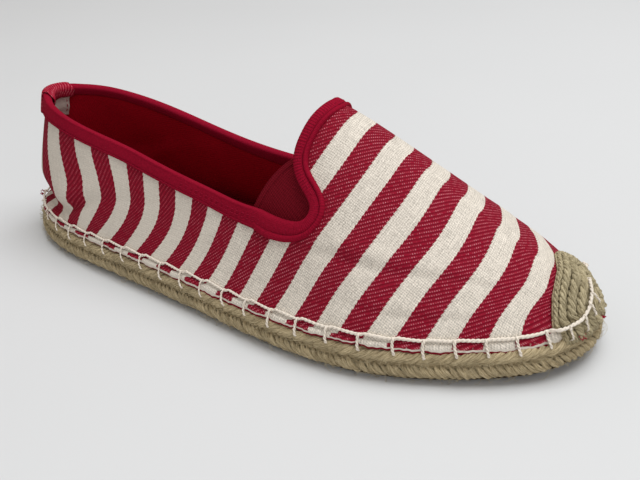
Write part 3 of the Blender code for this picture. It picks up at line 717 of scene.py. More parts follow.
class Heap:
    """Collects vertices, faces and point values of many parts, then makes one mesh object."""

    def __init__(self):
        self.verts, self.faces, self.kinds, self.values = [], [], [], {}
        self.count = 0

    def add(self, verts, faces, kind=0, **values):
        """faces is a list of index arrays, each of one width. Values fit the shape of the vertices."""
        values = {name: np.broadcast_to(value, verts.shape).reshape(-1, 3) for name, value in values.items()}
        verts = verts.reshape(-1, 3)
        self.verts.append(verts)
        for block in faces:
            block = np.asarray(block, int)
            self.faces.append(block + self.count)
            self.kinds.append(np.full(len(block), kind))
        for name, value in values.items():
            self.values.setdefault(name, []).append((self.count, value))
        self.count += len(verts)

    def join(self, quads):
        """Adds faces between vertices that the heap already holds."""
        self.faces.append(quads)
        self.kinds.append(np.zeros(len(quads), int))

    def tubes(self, paths, ups, wide, thick=None, shift=0, floor=-1.0, **form):
        """Adds tubes. shift is added to their numbers, and floor is the lowest height they may have."""
        verts, faces, grain = tubes(paths, ups, wide, wide if thick is None else thick, **form)
        grain[:, 2] += shift
        verts[:, 2] = np.maximum(verts[:, 2], floor)
        self.add(verts, faces, grain=grain)

    def slab(self, face, normal, thick, grain):
        """Adds a thin closed slab: the face grid and the same grid moved in by the thickness."""
        rows, columns = face.shape[:2]
        size = rows * columns
        rim = np.concatenate((np.arange(columns), columns - 1 + columns * np.arange(1, rows),
                              size - 1 - np.arange(1, columns), columns * np.arange(rows - 2, -1, -1)))
        faces = [grid(rows, columns), grid(rows, columns, flip=True, first=size),
                 band(rim, rim + size, flip=True)]
        self.add(np.stack((face, face - normal * thick)), faces, grain=grain)

    def piece(self, name, materials, slot, *nodes, merge=0.0):
        """One mesh piece that rides on the one body and may stand for CAD nodes."""
        made = self.build(name, materials, merge)
        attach(made, "root")
        if nodes:
            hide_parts(*nodes)

    def build(self, name, materials, merge):
        verts = np.concatenate(self.verts)
        sizes = np.concatenate([np.full(len(b), b.shape[1]) for b in self.faces])
        loops = np.concatenate([b.ravel() for b in self.faces])
        mesh = bpy.data.meshes.new(name)
        mesh.vertices.add(len(verts))
        mesh.vertices.foreach_set("co", verts.astype(np.float32).ravel())
        mesh.loops.add(len(loops))
        mesh.loops.foreach_set("vertex_index", loops.astype(np.int32))
        mesh.polygons.add(len(sizes))
        starts = np.concatenate(([0], np.cumsum(sizes)[:-1]))
        mesh.polygons.foreach_set("loop_start", starts.astype(np.int32))
        mesh.polygons.foreach_set("material_index", np.concatenate(self.kinds).astype(np.int32))
        for key, rows in self.values.items():
            held = np.zeros((len(verts), 3), np.float32)
            for start, value in rows:
                held[start:start + len(value)] = value
            layer = mesh.attributes.new(key, "FLOAT_VECTOR", "POINT")
            layer.data.foreach_set("vector", held.ravel())
        mesh.update(calc_edges=True)
        mesh.validate()
        if merge:
            shaped = bmesh.new()
            shaped.from_mesh(mesh)
            bmesh.ops.remove_doubles(shaped, verts=shaped.verts, dist=merge)
            bmesh.ops.dissolve_degenerate(shaped, edges=shaped.edges, dist=merge / 4)
            bmesh.ops.recalc_face_normals(shaped, faces=shaped.faces)
            shaped.to_mesh(mesh)
            shaped.free()
        mesh.shade_smooth()
        for material in materials:
            mesh.materials.append(material)
        return add_object(name, mesh)


def grid(rows, columns, wrap_rows=False, wrap_columns=False, flip=False, first=0):
    """Quads of a rows by columns grid of vertices."""
    index = np.arange(rows * columns).reshape(rows, columns) + first
    if wrap_rows:
        index = np.concatenate((index, index[:1]))
    if wrap_columns:
        index = np.concatenate((index, index[:, :1]), 1)
    quads = np.stack((index[:-1, :-1], index[:-1, 1:], index[1:, 1:], index[1:, :-1]), -1)
    quads = quads.reshape(-1, 4)
    return quads[:, ::-1] if flip else quads


def band(first, second, flip=False):
    """Quads between two lines of vertex numbers."""
    quads = np.stack((first[:-1], first[1:], second[1:], second[:-1]), -1)
    return quads[:, ::-1] if flip else quads


def closed_rings(rows, columns):
    """Faces of a stack of rings, with rungs across the first ring and the last one."""
    faces = [grid(rows, columns, wrap_columns=True)]
    rung = np.arange(1, columns // 2)
    for base, flip in ((0, True), ((rows - 1) * columns, False)):
        faces.append(band(base + rung, base + columns - rung, flip))
    return faces


def tubes(paths, ups, wide, thick, sides=8, closed=False, flute=0.0, flutes=3, twist=0.0):
    """Vertices, faces and grain of many tubes: paths is tubes by points by 3, ups leads to their tops.

    wide and thick are half sizes along the path. The grain is the length along the tube, the place
    round it in millimetres, and the number of the tube.
    """
    count, steps, _ = paths.shape
    if closed:
        along = unit(np.roll(paths, -1, 1) - np.roll(paths, 1, 1))
    else:
        along = unit(np.gradient(paths, axis=1))
    side = unit(np.cross(along, ups))
    top = np.cross(side, along)
    turn = np.arange(sides) * FULL_TURN / sides
    length = path_length(paths, 1)
    wide = np.broadcast_to(wide, (count, steps))[..., None]
    thick = np.broadcast_to(thick, (count, steps))[..., None]
    ridge = 1 + flute * np.cos(flutes * (turn + twist * length[..., None] / MM))
    verts = (paths[:, :, None] + side[:, :, None] * (np.cos(turn) * wide * ridge)[..., None]
             + top[:, :, None] * (np.sin(turn) * thick * ridge)[..., None])
    grain = as_points(length[..., None] / MM, turn * wide / MM, np.arange(count)[:, None, None])
    base = np.arange(count)[:, None, None] * steps * sides
    if closed:
        one = grid(steps, sides, wrap_rows=True, wrap_columns=True, flip=True)
        return verts.reshape(-1, 3), [(base + one).reshape(-1, 4)], grain.reshape(-1, 3)
    one = grid(steps, sides, wrap_columns=True, flip=True)
    start = np.arange(sides)[None]
    end = start[:, ::-1] + (steps - 1) * sides
    faces = [(base + one).reshape(-1, 4), (base + start).reshape(-1, sides), (base + end).reshape(-1, sides)]
    return verts.reshape(-1, 3), faces, grain.reshape(-1, 3)


# ---------------------------------------------------------------- shader graphs
class Wire:
    """A shader value that takes part in sums, products and comparisons."""

    def __init__(self, graph, socket):
        self.graph, self.socket = graph, socket

    def __add__(self, other):
        return self.graph.math("ADD", self, other)

    def __sub__(self, other):
        return self.graph.math("SUBTRACT", self, other)

    def __rsub__(self, other):
        return self.graph.math("SUBTRACT", other, self)

    def __mul__(self, other):
        return self.graph.math("MULTIPLY", self, other)

    def __truediv__(self, other):
        return self * (1 / other)

    __radd__ = __add__


class Graph:
    """One material and short calls that add nodes to it."""

    def __init__(self, name):
        self.material = bpy.data.materials.new(name)
        self.material.use_nodes = True
        self.tree = self.material.node_tree
        self.shader = self.tree.nodes["Principled BSDF"]

    def add(self, kind, *inputs, out=0, **settings):
        """A node with its first inputs linked or set. None leaves an input as it is."""
        made = self.tree.nodes.new("ShaderNode" + kind)
        for name, value in settings.items():
            setattr(made, name, value)
        for value, socket in zip(inputs, made.inputs):
            self.link(value, socket)
        return Wire(self, made.outputs[out])

    def link(self, source, target):
        if isinstance(source, Wire):
            self.tree.links.new(source.socket, target)
        elif isinstance(source, tuple):
            target.default_value = (*source, 1) if target.type == "RGBA" else source
        elif source is not None:
            target.default_value = source

    def math(self, operation, *values):
        return self.add("Math", *values, operation=operation)

    def fract(self, value):
        return self.math("FRACT", value)

    def floor(self, value):
        return self.math("FLOOR", value)

    def wave(self, value):
        """Cosine wave from 0 to 1, with its tops at whole values."""
        return self.math("COSINE", value * FULL_TURN) * 0.5 + 0.5

    def step(self, value, low, high):
        """0 below low, 1 above high, smooth between."""
        return self.add("MapRange", value, low, high, interpolation_type="SMOOTHSTEP")

    def split(self, source):
        made = self.tree.nodes.new("ShaderNodeSeparateXYZ")
        self.link(source, made.inputs[0])
        return [Wire(self, socket) for socket in made.outputs]

    def parts(self, name):
        """The three numbers of a point value."""
        return self.split(self.add("Attribute", out="Vector", attribute_name=name))

    def place(self):
        """The three coordinates of the piece in millimetres."""
        return [part / MM for part in self.split(self.add("TexCoord", out="Object"))]

    def vector(self, x, y, z=0.0):
        return self.add("CombineXYZ", x, y, z)

    def noise(self, vector, scale, detail=2.0, rough=0.5):
        """Noise from 0 to 1, about 0.5."""
        return self.add("TexNoise", vector, None, scale, detail, rough)

    def cell(self, vector):
        """A random number for each whole cell of the vector."""
        return self.add("TexWhiteNoise", vector)

    def mix(self, share, first, second):
        unused = (None,) * 5
        return self.add("Mix", share, *unused, first, second, out=2, data_type="RGBA")

    def scale_colour(self, colour, factor):
        """The colour times a grey factor."""
        return self.add("VectorMath", colour, None, None, factor, operation="SCALE")

    def finish(self, colour, roughness, height=0.0, depth=0.1, specular=0.3):
        """Sets the surface. depth is the bump's full height in millimetres."""
        self.link(colour, self.shader.inputs["Base Color"])
        self.link(roughness, self.shader.inputs["Roughness"])
        self.shader.inputs["Specular IOR Level"].default_value = specular
        bump = self.tree.nodes.new("ShaderNodeBump")
        bump.inputs["Distance"].default_value = depth * MM
        self.link(height, bump.inputs["Height"])
        self.tree.links.new(bump.outputs[0], self.shader.inputs["Normal"])
        return self.material


WHITE = (0.665, 0.61, 0.535)
RED = (0.290, 0.008, 0.026)
# Red of the twill's valleys: the red darkened as painted shade
RED_VALLEY_SHADE = (0.10, 0.002, 0.009)
# Red of the hem's underside, darkened as painted shade
SHADED_UNDER_RED = (0.20, 0.004, 0.016)
FLECK = (0.62, 0.24, 0.28)
BLUSH = (0.62, 0.38, 0.36)
TAPE_RED = (0.295, 0.006, 0.025)
LINING_RED = (0.38, 0.004, 0.016)
GORE_RED = (0.175, 0.006, 0.014)
JUTE = (0.58, 0.475, 0.295)
JUTE_DARK = (0.27, 0.205, 0.11)
CAP_JUTE = (0.57, 0.49, 0.315)
CAP_DARK = (0.19, 0.15, 0.08)
THREAD = (0.82, 0.745, 0.65)
RUBBER = (0.20, 0.135, 0.08)
FIBRE = (0.50, 0.42, 0.27)
RED_THREAD = (0.30, 0.006, 0.03)
INSOLE_RED = (0.20, 0.003, 0.010)
PATCH_WHITE = (0.55, 0.47, 0.42)

# Cloth of the canvas: slope of the twill and pitches of its ribs, flecks and threads, in millimetres
TWILL_SLOPE = 1.27
TWILL_PITCH = 1.98
FLECK_PITCH = 1.62
WARP_PITCH = 0.74
WEFT_PITCH = 0.80
# Small steps of the twill along a stripe's two edges, as shares of a stripe
RIGHT_TOOTH = 0.027
LEFT_TOOTH = 0.018


def canvas_material():
    """Yarn-dyed cloth: off-white plain weave and red twill, read from stripe and thread places."""
    g = Graph("canvas_stripes")
    across, along, edge = g.parts("weave")
    here = g.vector(across, along)
    stripe = across / STRIPE_PITCH
    # Diagonal ribs of the twill. Red reaches a quarter of a pitch to each side of a stripe's middle, and
    # the ribs make small steps along its edges
    rib = (along - across * TWILL_SLOPE) / TWILL_PITCH + g.noise(here, 0.12) * 0.35
    saw = g.fract(rib)
    centred = g.fract(stripe + 0.5) - 0.5
    wander = (g.noise(here, 0.5) - 0.5) * 0.010
    right = centred + wander - (saw - 0.5) * RIGHT_TOOTH
    left = centred * -1.0 + wander - (g.fract(rib + 0.4) - 0.5) * LEFT_TOOTH
    red = g.step(g.math("MAXIMUM", right, left), 0.253, 0.247)
    # Plain weave of uneven threads, with slubs along both directions
    uneven = (g.noise(here, 0.7, 2) - 0.5) * 0.9
    warp = g.wave((across + uneven) / WARP_PITCH)
    weft = g.wave((along - uneven) / WEFT_PITCH)
    checker = g.wave(across / (2 * WARP_PITCH)) * g.wave(along / (2 * WEFT_PITCH))
    checker = checker + ((1 - g.wave(across / (2 * WARP_PITCH)))
                         * (1 - g.wave(along / (2 * WEFT_PITCH))))
    yarn_across = g.noise(g.vector(across * 1.6, along * 0.16), 1.0, 2)
    yarn_along = g.noise(g.vector(across * 0.16, along * 1.7), 1.0, 2)
    speckle = g.noise(here, 1.6, 3, 0.75)
    plain = warp * 0.45 + weft * 0.40 + checker * 0.15
    vamp = g.step(across, 60.0, 120.0)
    mottle = ((plain - 0.5) * 0.62 + (yarn_across - 0.5) * 0.65 + (yarn_along - 0.5) * 0.60
              + (speckle - 0.5) * 1.45)
    white_tone = 0.97 + mottle * (vamp * 0.55 + 0.30)
    white = g.scale_colour(WHITE, white_tone)
    blush = g.step(g.noise(here, 0.9, 3, 0.7), 0.56, 0.74)
    white = g.mix(blush * 0.16, white, BLUSH)
    # Twill: a raised red rib with a row of pale flecks of the white weft, then a valley darkened with painted
    # shade
    valley = g.step(g.wave(saw), 0.35, 0.95)
    crest = g.step(g.wave(saw + 0.5), 0.55, 0.95)
    run = (across + along * TWILL_SLOPE) / FLECK_PITCH
    dots = g.step(g.wave(run / WEFT_PITCH + g.floor(rib) * 0.37), 0.42, 0.96)
    dash = g.step(g.noise(g.vector(run * 0.55, g.floor(rib) * 3.7), 1.0, 2), 0.34, 0.66)
    fleck = crest * dots * dash
    fill = g.noise(here, 1.3, 3, 0.7)
    rib_tone = 0.92 + (fill - 0.5) * 0.70
    # Painted shade: the valleys between the twill's ribs are mixed towards a darker red
    twill = g.mix(valley * 0.46, g.scale_colour(RED, rib_tone), RED_VALLEY_SHADE)
    twill = g.mix(fleck * (vamp * 0.55 + 0.35), twill, FLECK)
    cloth = g.mix(red, white, twill)
    # Cut edge of the hem: a pale fold, then the red underside, made darker as painted shade under the lifted
    # hem
    pale = g.step(edge, 0.60, 0.66)
    # The underside band is wider on the vamp; its darker red is the cloth's red with painted shade
    under = g.step(edge + vamp * 0.14, 0.94, 0.98)
    frayed = g.step(g.noise(g.vector(across * 2.2, along * 0.9), 1.0, 2), 0.60, 0.66)
    frayed = frayed * g.step(edge, 0.30, 0.7)
    cloth = g.mix(frayed * 0.75, cloth, WHITE)
    cloth = g.mix(pale, cloth, WHITE)
    cloth = g.mix(under, cloth, SHADED_UNDER_RED)
    broad = g.noise(here, 0.035, 3)
    cloth = g.scale_colour(cloth, 0.94 + broad * 0.12)
    height = g.math("MULTIPLY", red, (1 - valley) * 0.9 + fleck * 0.3)
    height = height + (1 - red) * (plain * 0.5 + (yarn_across - 0.5) * 0.3) + (speckle - 0.5) * 0.25
    return g.finish(cloth, 0.9, height, 0.18, specular=0.08)


def cloth_material(name, colour, pitch, contrast, depth):
    """Plain cloth in one colour, woven in the piece's own coordinates."""
    g = Graph(name)
    x, y, z = g.place()
    here = g.vector(x, y, z)
    threads = g.wave(x / pitch) * 0.5 + g.wave((y + z) / pitch) * 0.5
    tone = 0.9 + (threads - 0.5) * contrast + (g.noise(here, 1.4, 3) - 0.5) * contrast * 1.6
    tone = tone + (g.noise(here, 0.05, 2) - 0.5) * 0.25
    height = threads + g.noise(here, 1.8, 2)
    return g.finish(g.scale_colour(colour, tone), 0.9, height, depth, specular=0.03)


def tape_material():
    """Knitted binding tape: fine courses across it, read from its own length and width."""
    g = Graph("binding_tape")
    along, across, rib_minus_shade = g.parts("grain")
    here = g.vector(along, across)
    courses = g.wave(along / 0.55)
    wales = g.wave(across / 0.5 + g.wave(along / 1.1) * 0.3)
    fuzz = g.noise(here, 1.2, 3)
    tone = 0.86 + (courses - 0.5) * 0.22 + (wales - 0.5) * 0.14 + (fuzz - 0.5) * 0.60
    tone = tone + (g.noise(here, 0.08, 2) - 0.5) * 0.22
    tone = tone + (g.wave(along / TAPE_RIB_PITCH) - 0.5) * g.step(rib_minus_shade, 0.0, 1.0) * 0.45
    # Painted shade: the tape is darker where the third grain number is below zero, in its groove and seam
    # line
    tone = tone * (1 - g.step(rib_minus_shade, 0.0, -1.0) * 0.35)
    colour = g.scale_colour(TAPE_RED, tone)
    return g.finish(colour, 0.9, courses * 0.4 + wales * 0.3 + fuzz * 0.7, 0.1, specular=0.03)


def tab_material():
    """Ribbed strip of the heel: red with thin pale lines across it."""
    g = Graph("heel_tab_ribs")
    along, across, _ = g.parts("grain")
    ribs = g.wave(across / TAPE_RIB_PITCH + along * 0.45)
    fuzz = g.noise(g.vector(along, across), 2.0, 3)
    tone = 0.85 + ribs * 0.5 + (fuzz - 0.5) * 0.4
    pale = g.step(ribs, 0.65, 1.0) * g.step(fuzz, 0.35, 0.65)
    colour = g.mix(pale * 0.55, g.scale_colour(TAPE_RED, tone), FLECK)
    return g.finish(colour, 0.9, ribs, 0.15, specular=0.05)


def gore_material():
    """Elastic web: fine ribs along the free edge."""
    g = Graph("elastic_web")
    along, across, _ = g.parts("grain")
    ribs = g.wave(across / GORE_RIB_PITCH)
    cross = g.wave(along / 0.7)
    fuzz = g.noise(g.vector(along, across), 2.0, 2)
    tone = 0.72 + ribs * 0.34 + (cross - 0.5) * 0.12 + (fuzz - 0.5) * 0.25
    return g.finish(g.scale_colour(GORE_RED, tone), 0.7, ribs + cross * 0.4, 0.14, specular=0.04)


def jute_material(name, colour, dark):
    """Jute strands: streaks of fibre along each strand, with paler and darker strands."""
    g = Graph(name)
    along, around, number = g.parts("grain")
    fibre = g.noise(g.vector(along * 0.35 + around * 0.5, around * 3.4, number * 7.3), 1.0, 4, 0.65)
    fine = g.noise(g.vector(along * 0.9, around * 9.0, number * 3.1), 1.0, 2)
    own = g.cell(g.vector(number, 0.5))
    broad = g.noise(g.vector(*g.place()), 0.06, 2)
    tone = 0.62 + fibre * 0.62 + (fine - 0.5) * 0.30 + (own - 0.5) * 0.24 + (broad - 0.5) * 0.25
    tint = g.mix(g.step(fibre, 0.30, 0.62), dark, colour)
    return g.finish(g.scale_colour(tint, tone), 0.95, fibre + fine * 0.6, 0.35, specular=0.1)


def thread_material(name, colour):
    """Spun thread: a slanted ply mark and fuzz."""
    g = Graph(name)
    along, around, number = g.parts("grain")
    fibre = g.noise(g.vector(along * 0.8, around * 4.0, number * 5.1), 1.0, 3)
    ply = g.wave(along / 1.6 + around * 0.45)
    tone = 0.80 + fibre * 0.26 + ply * 0.08
    return g.finish(g.scale_colour(colour, tone), 0.9, ply * 0.6 + fibre, 0.12, specular=0.1)


def rubber_material():
    """Brown rubber, darker down in the grooves of the tread as painted shade."""
    g = Graph("rubber_brown")
    here = g.vector(*g.place())
    depth, _, _ = g.parts("grain")
    tone = 0.85 + (g.noise(here, 0.05, 4) - 0.5) * 0.35 + (g.noise(here, 0.9, 3) - 0.5) * 0.22
    # Painted shade: darker where the tread is cut deeper
    tone = tone * (1 - g.step(depth, 0.15, 1.0) * 0.38)
    rough = 0.62 + g.noise(here, 0.3, 3) * 0.2
    return g.finish(g.scale_colour(RUBBER, tone), rough, g.noise(here, 1.6, 3), 0.06, specular=0.35)


# ---------------------------------------------------------------- canvas
def relief(angle, rise):
    """How far the cloth stands off the last: puckers at the stitches, soft waves and folds."""
    length = length_at(angle)
    gap = stitch_gap(length)
    pucker = (gap - 0.5) * 0.5 * MM * np.exp(-np.clip(rise, 0, 1) / 0.05) * smooth_step(rise, -0.02, 0.02)
    point = last_point(angle, rise)
    x = point[..., 0] / MM
    down = girth(angle, np.clip(rise, -1, 1)) / MM
    wave = 0.16 * np.sin(x / 9.0 + down / 14.0) + 0.12 * np.sin(x / 5.3 - down / 8.0 + 1.3)
    wave *= smooth_step(rise, 0.03, 0.2)
    share = angle_station(angle)
    medial = angle > math.pi
    fold = 0.0
    for crease in CREASES:
        shares, rises, depths = np.array(crease).T
        line = np.interp(share, shares, rises) + np.where(medial, MEDIAL_CREASE_RISE, 0.0)
        depth = np.interp(share, shares, depths, 0, 0) * np.where(medial, MEDIAL_CREASE_DEPTH, 1.0)
        above = (rise - line) * CREASE_SPAN
        ridge = 0.6 * np.exp(-((above - 2.8) / 2.4) ** 2)
        fold = fold + 1.5 * depth * (ridge - np.exp(-(above / 1.3) ** 2))
    return pucker + (wave + fold) * MM


def heel_tuck(angle, rise):
    """The cloth drawn in over the cord at the back of the heel, and the hem below it drawn in less."""
    heel = smooth_step(np.cos(angle), 0.62, 0.94)
    above = (1 - smooth_step(rise, 0.03, 0.18)) * smooth_step(rise, 0.0, 0.035)
    return -heel * (5.6 * above + 1.1 * (1 - smooth_step(rise, 0.0, 0.03))) * MM


def cloth_point(angle, rise, offset):
    """Point of the cloth at an offset out from the last, with its puckers and folds."""
    point, _, _, normal = last_frame(angle, rise)
    return point + normal * (offset + relief(angle, rise) + heel_tuck(angle, rise))[..., None]


def build_canvas(outside, inside):
    """Upper: fine outer cloth with its hem, a turned cut edge, and the lining, as one closed shell."""
    heap = Heap()
    lift, rolled, past_hem = np.array(ROLLED_EDGE).T[..., None]
    share = np.linspace(1, 0, HEM_ROWS + 1)[:-1, None]
    low = np.linspace(0, 1, 4)[:-1, None]
    for medial in (False, True):
        foot, wall_angle, wall_rise = wall_grid(medial)
        columns = len(foot)
        level = np.ones((1, columns))

        def turned(angle):
            return FULL_TURN - angle if medial else angle

        reach = hem_reach(turned(foot))
        gap = stitch_gap(length_at(turned(foot)))
        puff = (0.25 + 0.55 * gap) * MM * np.sin(math.pi * np.clip(share, 0.08, 1)) ** 0.7
        none = np.zeros(wall_rise.shape)
        angle = turned(np.concatenate((foot * np.ones((len(ROLLED_EDGE) + HEM_ROWS, 1)), wall_angle)))
        rise = np.concatenate((lift - reach, -share * reach, wall_rise))
        outer = cloth_point(angle, rise, np.concatenate((rolled * MM * level, puff, none)))
        edge = np.concatenate((past_hem * level, share * level, none))
        along = girth(angle, np.clip(rise, -1, 1)) / MM
        weave = np.stack((stripe_place(angle, rise) * STRIPE_PITCH, along, edge), -1)
        rows = len(angle)
        outer_first = heap.count
        heap.add(outer, [grid(rows, columns, flip=medial)], 0, weave=weave)
        inner_angle = turned(np.concatenate((foot * np.ones(low.shape), wall_angle[::LINING_STEP])))
        inner_rise = np.concatenate(((lift[0] - reach) * (1 - low), wall_rise[::LINING_STEP]))
        inner_rows = len(inner_angle)
        inner_first = heap.count
        heap.add(cloth_point(inner_angle, inner_rise, -CANVAS_WALL),
                 [grid(inner_rows, columns, flip=not medial)], 1)
        foot_line = np.arange(columns)
        top_line = np.arange(EDGE_COLUMNS)
        heap.join(band(outer_first + foot_line, inner_first + foot_line, not medial))
        heap.join(band(outer_first + (rows - 1) * columns + top_line,
                       inner_first + (inner_rows - 1) * columns + top_line, medial))
    heap.piece("canvas_upper", [outside, inside], "canvas", "upper", merge=0.01 * MM)


# ---------------------------------------------------------------- trim
def build_binding(material):
    """Tape folded over the top edge: a rolled outer leg, a stitched channel and a flat inner leg."""
    round_edge = path_length(np.append(TOP.point, TOP.point[:1], 0)) / MM
    mm, total = round_edge[:-1], round_edge[-1]
    tongue, ribbed = TOP.tongue, TOP.ribbed
    thin = (1 - tongue) * smooth_step(np.minimum(mm, total - mm), 7.0, 14.0)
    gather = ribbed * 0.13 * np.sin(mm / TAPE_RIB_PITCH * FULL_TURN) + tongue * 0.035 * np.sin(mm * 3.1 + 1)
    soft = 0.07 * np.sin(mm / 7.0) + 0.05 * np.sin(mm / 3.1 + 2)
    rows = []
    rib_minus_shade_rows = []

    def row(reach, offset, rib_minus_shade=0.0):
        rows.append(TOP.tape(reach, offset))
        rib_minus_shade_rows.append(np.broadcast_to(rib_minus_shade, mm.shape))

    row(TOP.outer_leg - 0.5 * MM, -0.15 * MM)
    row(TOP.outer_leg + 0.05 * MM, 0.10 * MM)
    for share, high in LEG_PROFILE:
        flat = 1.12 + 0.16 * math.sin(math.pi * share) if share < 0.97 else high
        seam = math.exp(-((share - 0.79) / 0.035) ** 2)
        groove = math.exp(-((share - 0.605) / 0.04) ** 2)
        level = (flat - 0.22 * seam - 0.30 * thin) * (1 - tongue) + high * tongue * (1 - 0.45 * TOP.tip)
        near = 1.0 if share < 0.5 else 0.15
        # Third number: the rib amount, less painted shade in the groove on the tongue and along the seam on
        # the quarters
        row(TOP.outer_leg * share, (level + gather * near + soft) * MM,
            ribbed * near * (1 - groove) - tongue * groove - 0.35 * seam * (1 - tongue))
    top = (1.32 - 0.30 * thin - 0.5 * TOP.tip) * MM
    low = -CANVAS_WALL - (0.95 - 0.35 * thin) * MM
    for part in np.linspace(0.08, 0.92, 7):
        turn = math.pi * part
        reach = -(1.25 - 0.35 * thin) * MM * math.sin(turn) + gather * 0.4 * MM
        height = (top + low) / 2 + (top - low) / 2 * math.cos(turn) + gather * 0.3 * MM
        row(reach, height, ribbed * (1 - part))
    for share, high in INNER_PROFILE:
        row(share * TOP.inner_leg, -CANVAS_WALL + (high + 0.35 * thin + soft * 0.5) * MM)
    row(TOP.inner_leg, -CANVAS_WALL - 0.25 * MM)
    row(TOP.inner_leg - 0.3 * MM, -CANVAS_WALL + 0.3 * MM)
    verts = np.stack(rows)
    count, columns = verts.shape[:2]
    width = path_length(verts).mean(1, keepdims=True) / MM
    grain = as_points(mm, width, np.stack(rib_minus_shade_rows))
    heap = Heap()
    heap.add(verts, [grid(count, columns, wrap_rows=True, wrap_columns=True)], grain=grain)
    heap.piece("collar_binding_tape", [material], "binding", "collar_binding", merge=0.001 * MM)


def stitch_row(heap, points, ups, pitch, stitch, radius):
    """Short thread stitches along a line of points."""
    length = path_length(points)
    part = np.linspace(0, 1, 6)
    places = np.arange(pitch / 2, length[-1] - stitch, pitch)[:, None] + part * stitch
    up = unit(sample(places, length, ups))
    hump = (np.sin(math.pi * part) - 0.55) * radius * 1.4
    swell = radius * (0.45 + 0.55 * np.sin(math.pi * np.clip(part, 0.08, 0.92)))
    heap.tubes(sample(places, length, points) + up * hump[:, None], up, swell, sides=6)


def build_binding_stitches(material):
    """Red thread in the binding: one line along the quarters, and two round the notch and the tongue."""
    heap = Heap()
    last_quarter = QUARTER_COLUMNS + 2 * FINE
    notch_start = QUARTER_COLUMNS - 6 * FINE
    front = QUARTER_COLUMNS + 2 * TAB_COLUMNS
    lines = (
        # share of the leg, heights on the quarter and the tongue in millimetres, columns
        (0.84, 0.90, 1.05, slice(0, last_quarter)),
        (0.84, 0.90, 1.05, slice(front - 2 * FINE, None)),
        (0.56, 1.15, 0.90, slice(notch_start, front + 6 * FINE)),
        (0.32, 1.15, 1.26, slice(notch_start, front + 6 * FINE)),
    )
    for share, quarter_height, tongue_height, span in lines:
        height = quarter_height * (1 - TOP.tongue) + tongue_height * TOP.tongue * (1 - 0.45 * TOP.tip)
        points = TOP.tape(TOP.outer_leg * share, height * MM)
        stitch_row(heap, points[span], TOP.normal[span], 2.5 * MM, 1.6 * MM, 0.15 * MM)
    heap.piece("binding_stitches", [material], "binding")


HEEL_SIDES = np.linspace(-6.5, 6.5, 40)  # places across the heel tab in millimetres


def across_heel(profile):
    """Rows of points over the heel, one for each reach and offset in millimetres."""
    near = np.arange(-9 * FINE, 9 * FINE + 1)
    rows = []
    for reach, offset in profile:
        ring = TOP.tape(reach * MM, offset * MM)[near]
        sides = (ring[:, 1] - TOP.point[0, 1]) / MM
        order = np.argsort(sides)
        rows.append(sample(HEEL_SIDES, sides[order], ring[order]))
    return np.stack(rows)


def build_heel_tab(material):
    """Ribbed strip folded over the binding at the heel."""
    profile = [(9.0, 1.2), (9.0, 1.9)] + [(reach, 2.15) for reach in np.linspace(8.7, 1.0, 14)] + [(0.2, 2.1)]
    for turn in math.pi * np.linspace(0.06, 0.94, 9):
        profile.append((-2.15 * math.sin(turn), -0.75 + 2.85 * math.cos(turn)))
    profile += [(reach, -3.62) for reach in np.linspace(0.5, 3.0, 4)] + [(3.2, -3.0)]
    lifted = []
    for reach, offset in profile:
        if offset > 0:
            lifted.append((reach, offset + 0.35))
        elif reach < 0:
            lifted.append((reach - 0.35, offset - 0.2))
        else:
            lifted.append((reach, offset - 0.35))
    verts = across_heel(profile)
    normal = unit(across_heel(lifted) - verts)
    ribs = 0.16 * np.cos(HEEL_SIDES / TAPE_RIB_PITCH * FULL_TURN)
    edge_drop = 0.5 * smooth_step(np.abs(HEEL_SIDES), 5.9, 6.5)
    verts = verts + normal * (ribs - edge_drop)[:, None] * MM
    along = 0.7 * np.arange(len(verts))[:, None]
    heap = Heap()
    heap.slab(verts, normal, 0.5 * MM, as_points(along, HEEL_SIDES, 0.0))
    heap.piece("heel_tab_tape", [material], "binding", "heel_tab")


def build_heel_patch(patch, thread):
    """Pale patch on the inside of the heel, sewn on along three edges."""
    profile = [(reach, -3.2 - 0.2 * math.sin(reach)) for reach in np.linspace(2.6, 12.0, 16)]
    inner = across_heel(profile)[:, 4:-4]
    up = np.array(Vector((1.0, 0.0, 0.1)).normalized())
    heap = Heap()
    heap.slab(inner, up, 0.6 * MM, 0.0)
    heap.piece("heel_patch", [patch], "canvas")
    heap = Heap()
    inset = inner[:, 3:-3]
    for line in (inset[1:-1, 0], inset[1:-1, -1], inset[-2]):
        stitch_row(heap, line, np.broadcast_to(up, line.shape), 2.2 * MM, 1.5 * MM, 0.22 * MM)
    heap.piece("heel_patch_stitches", [thread], "binding")


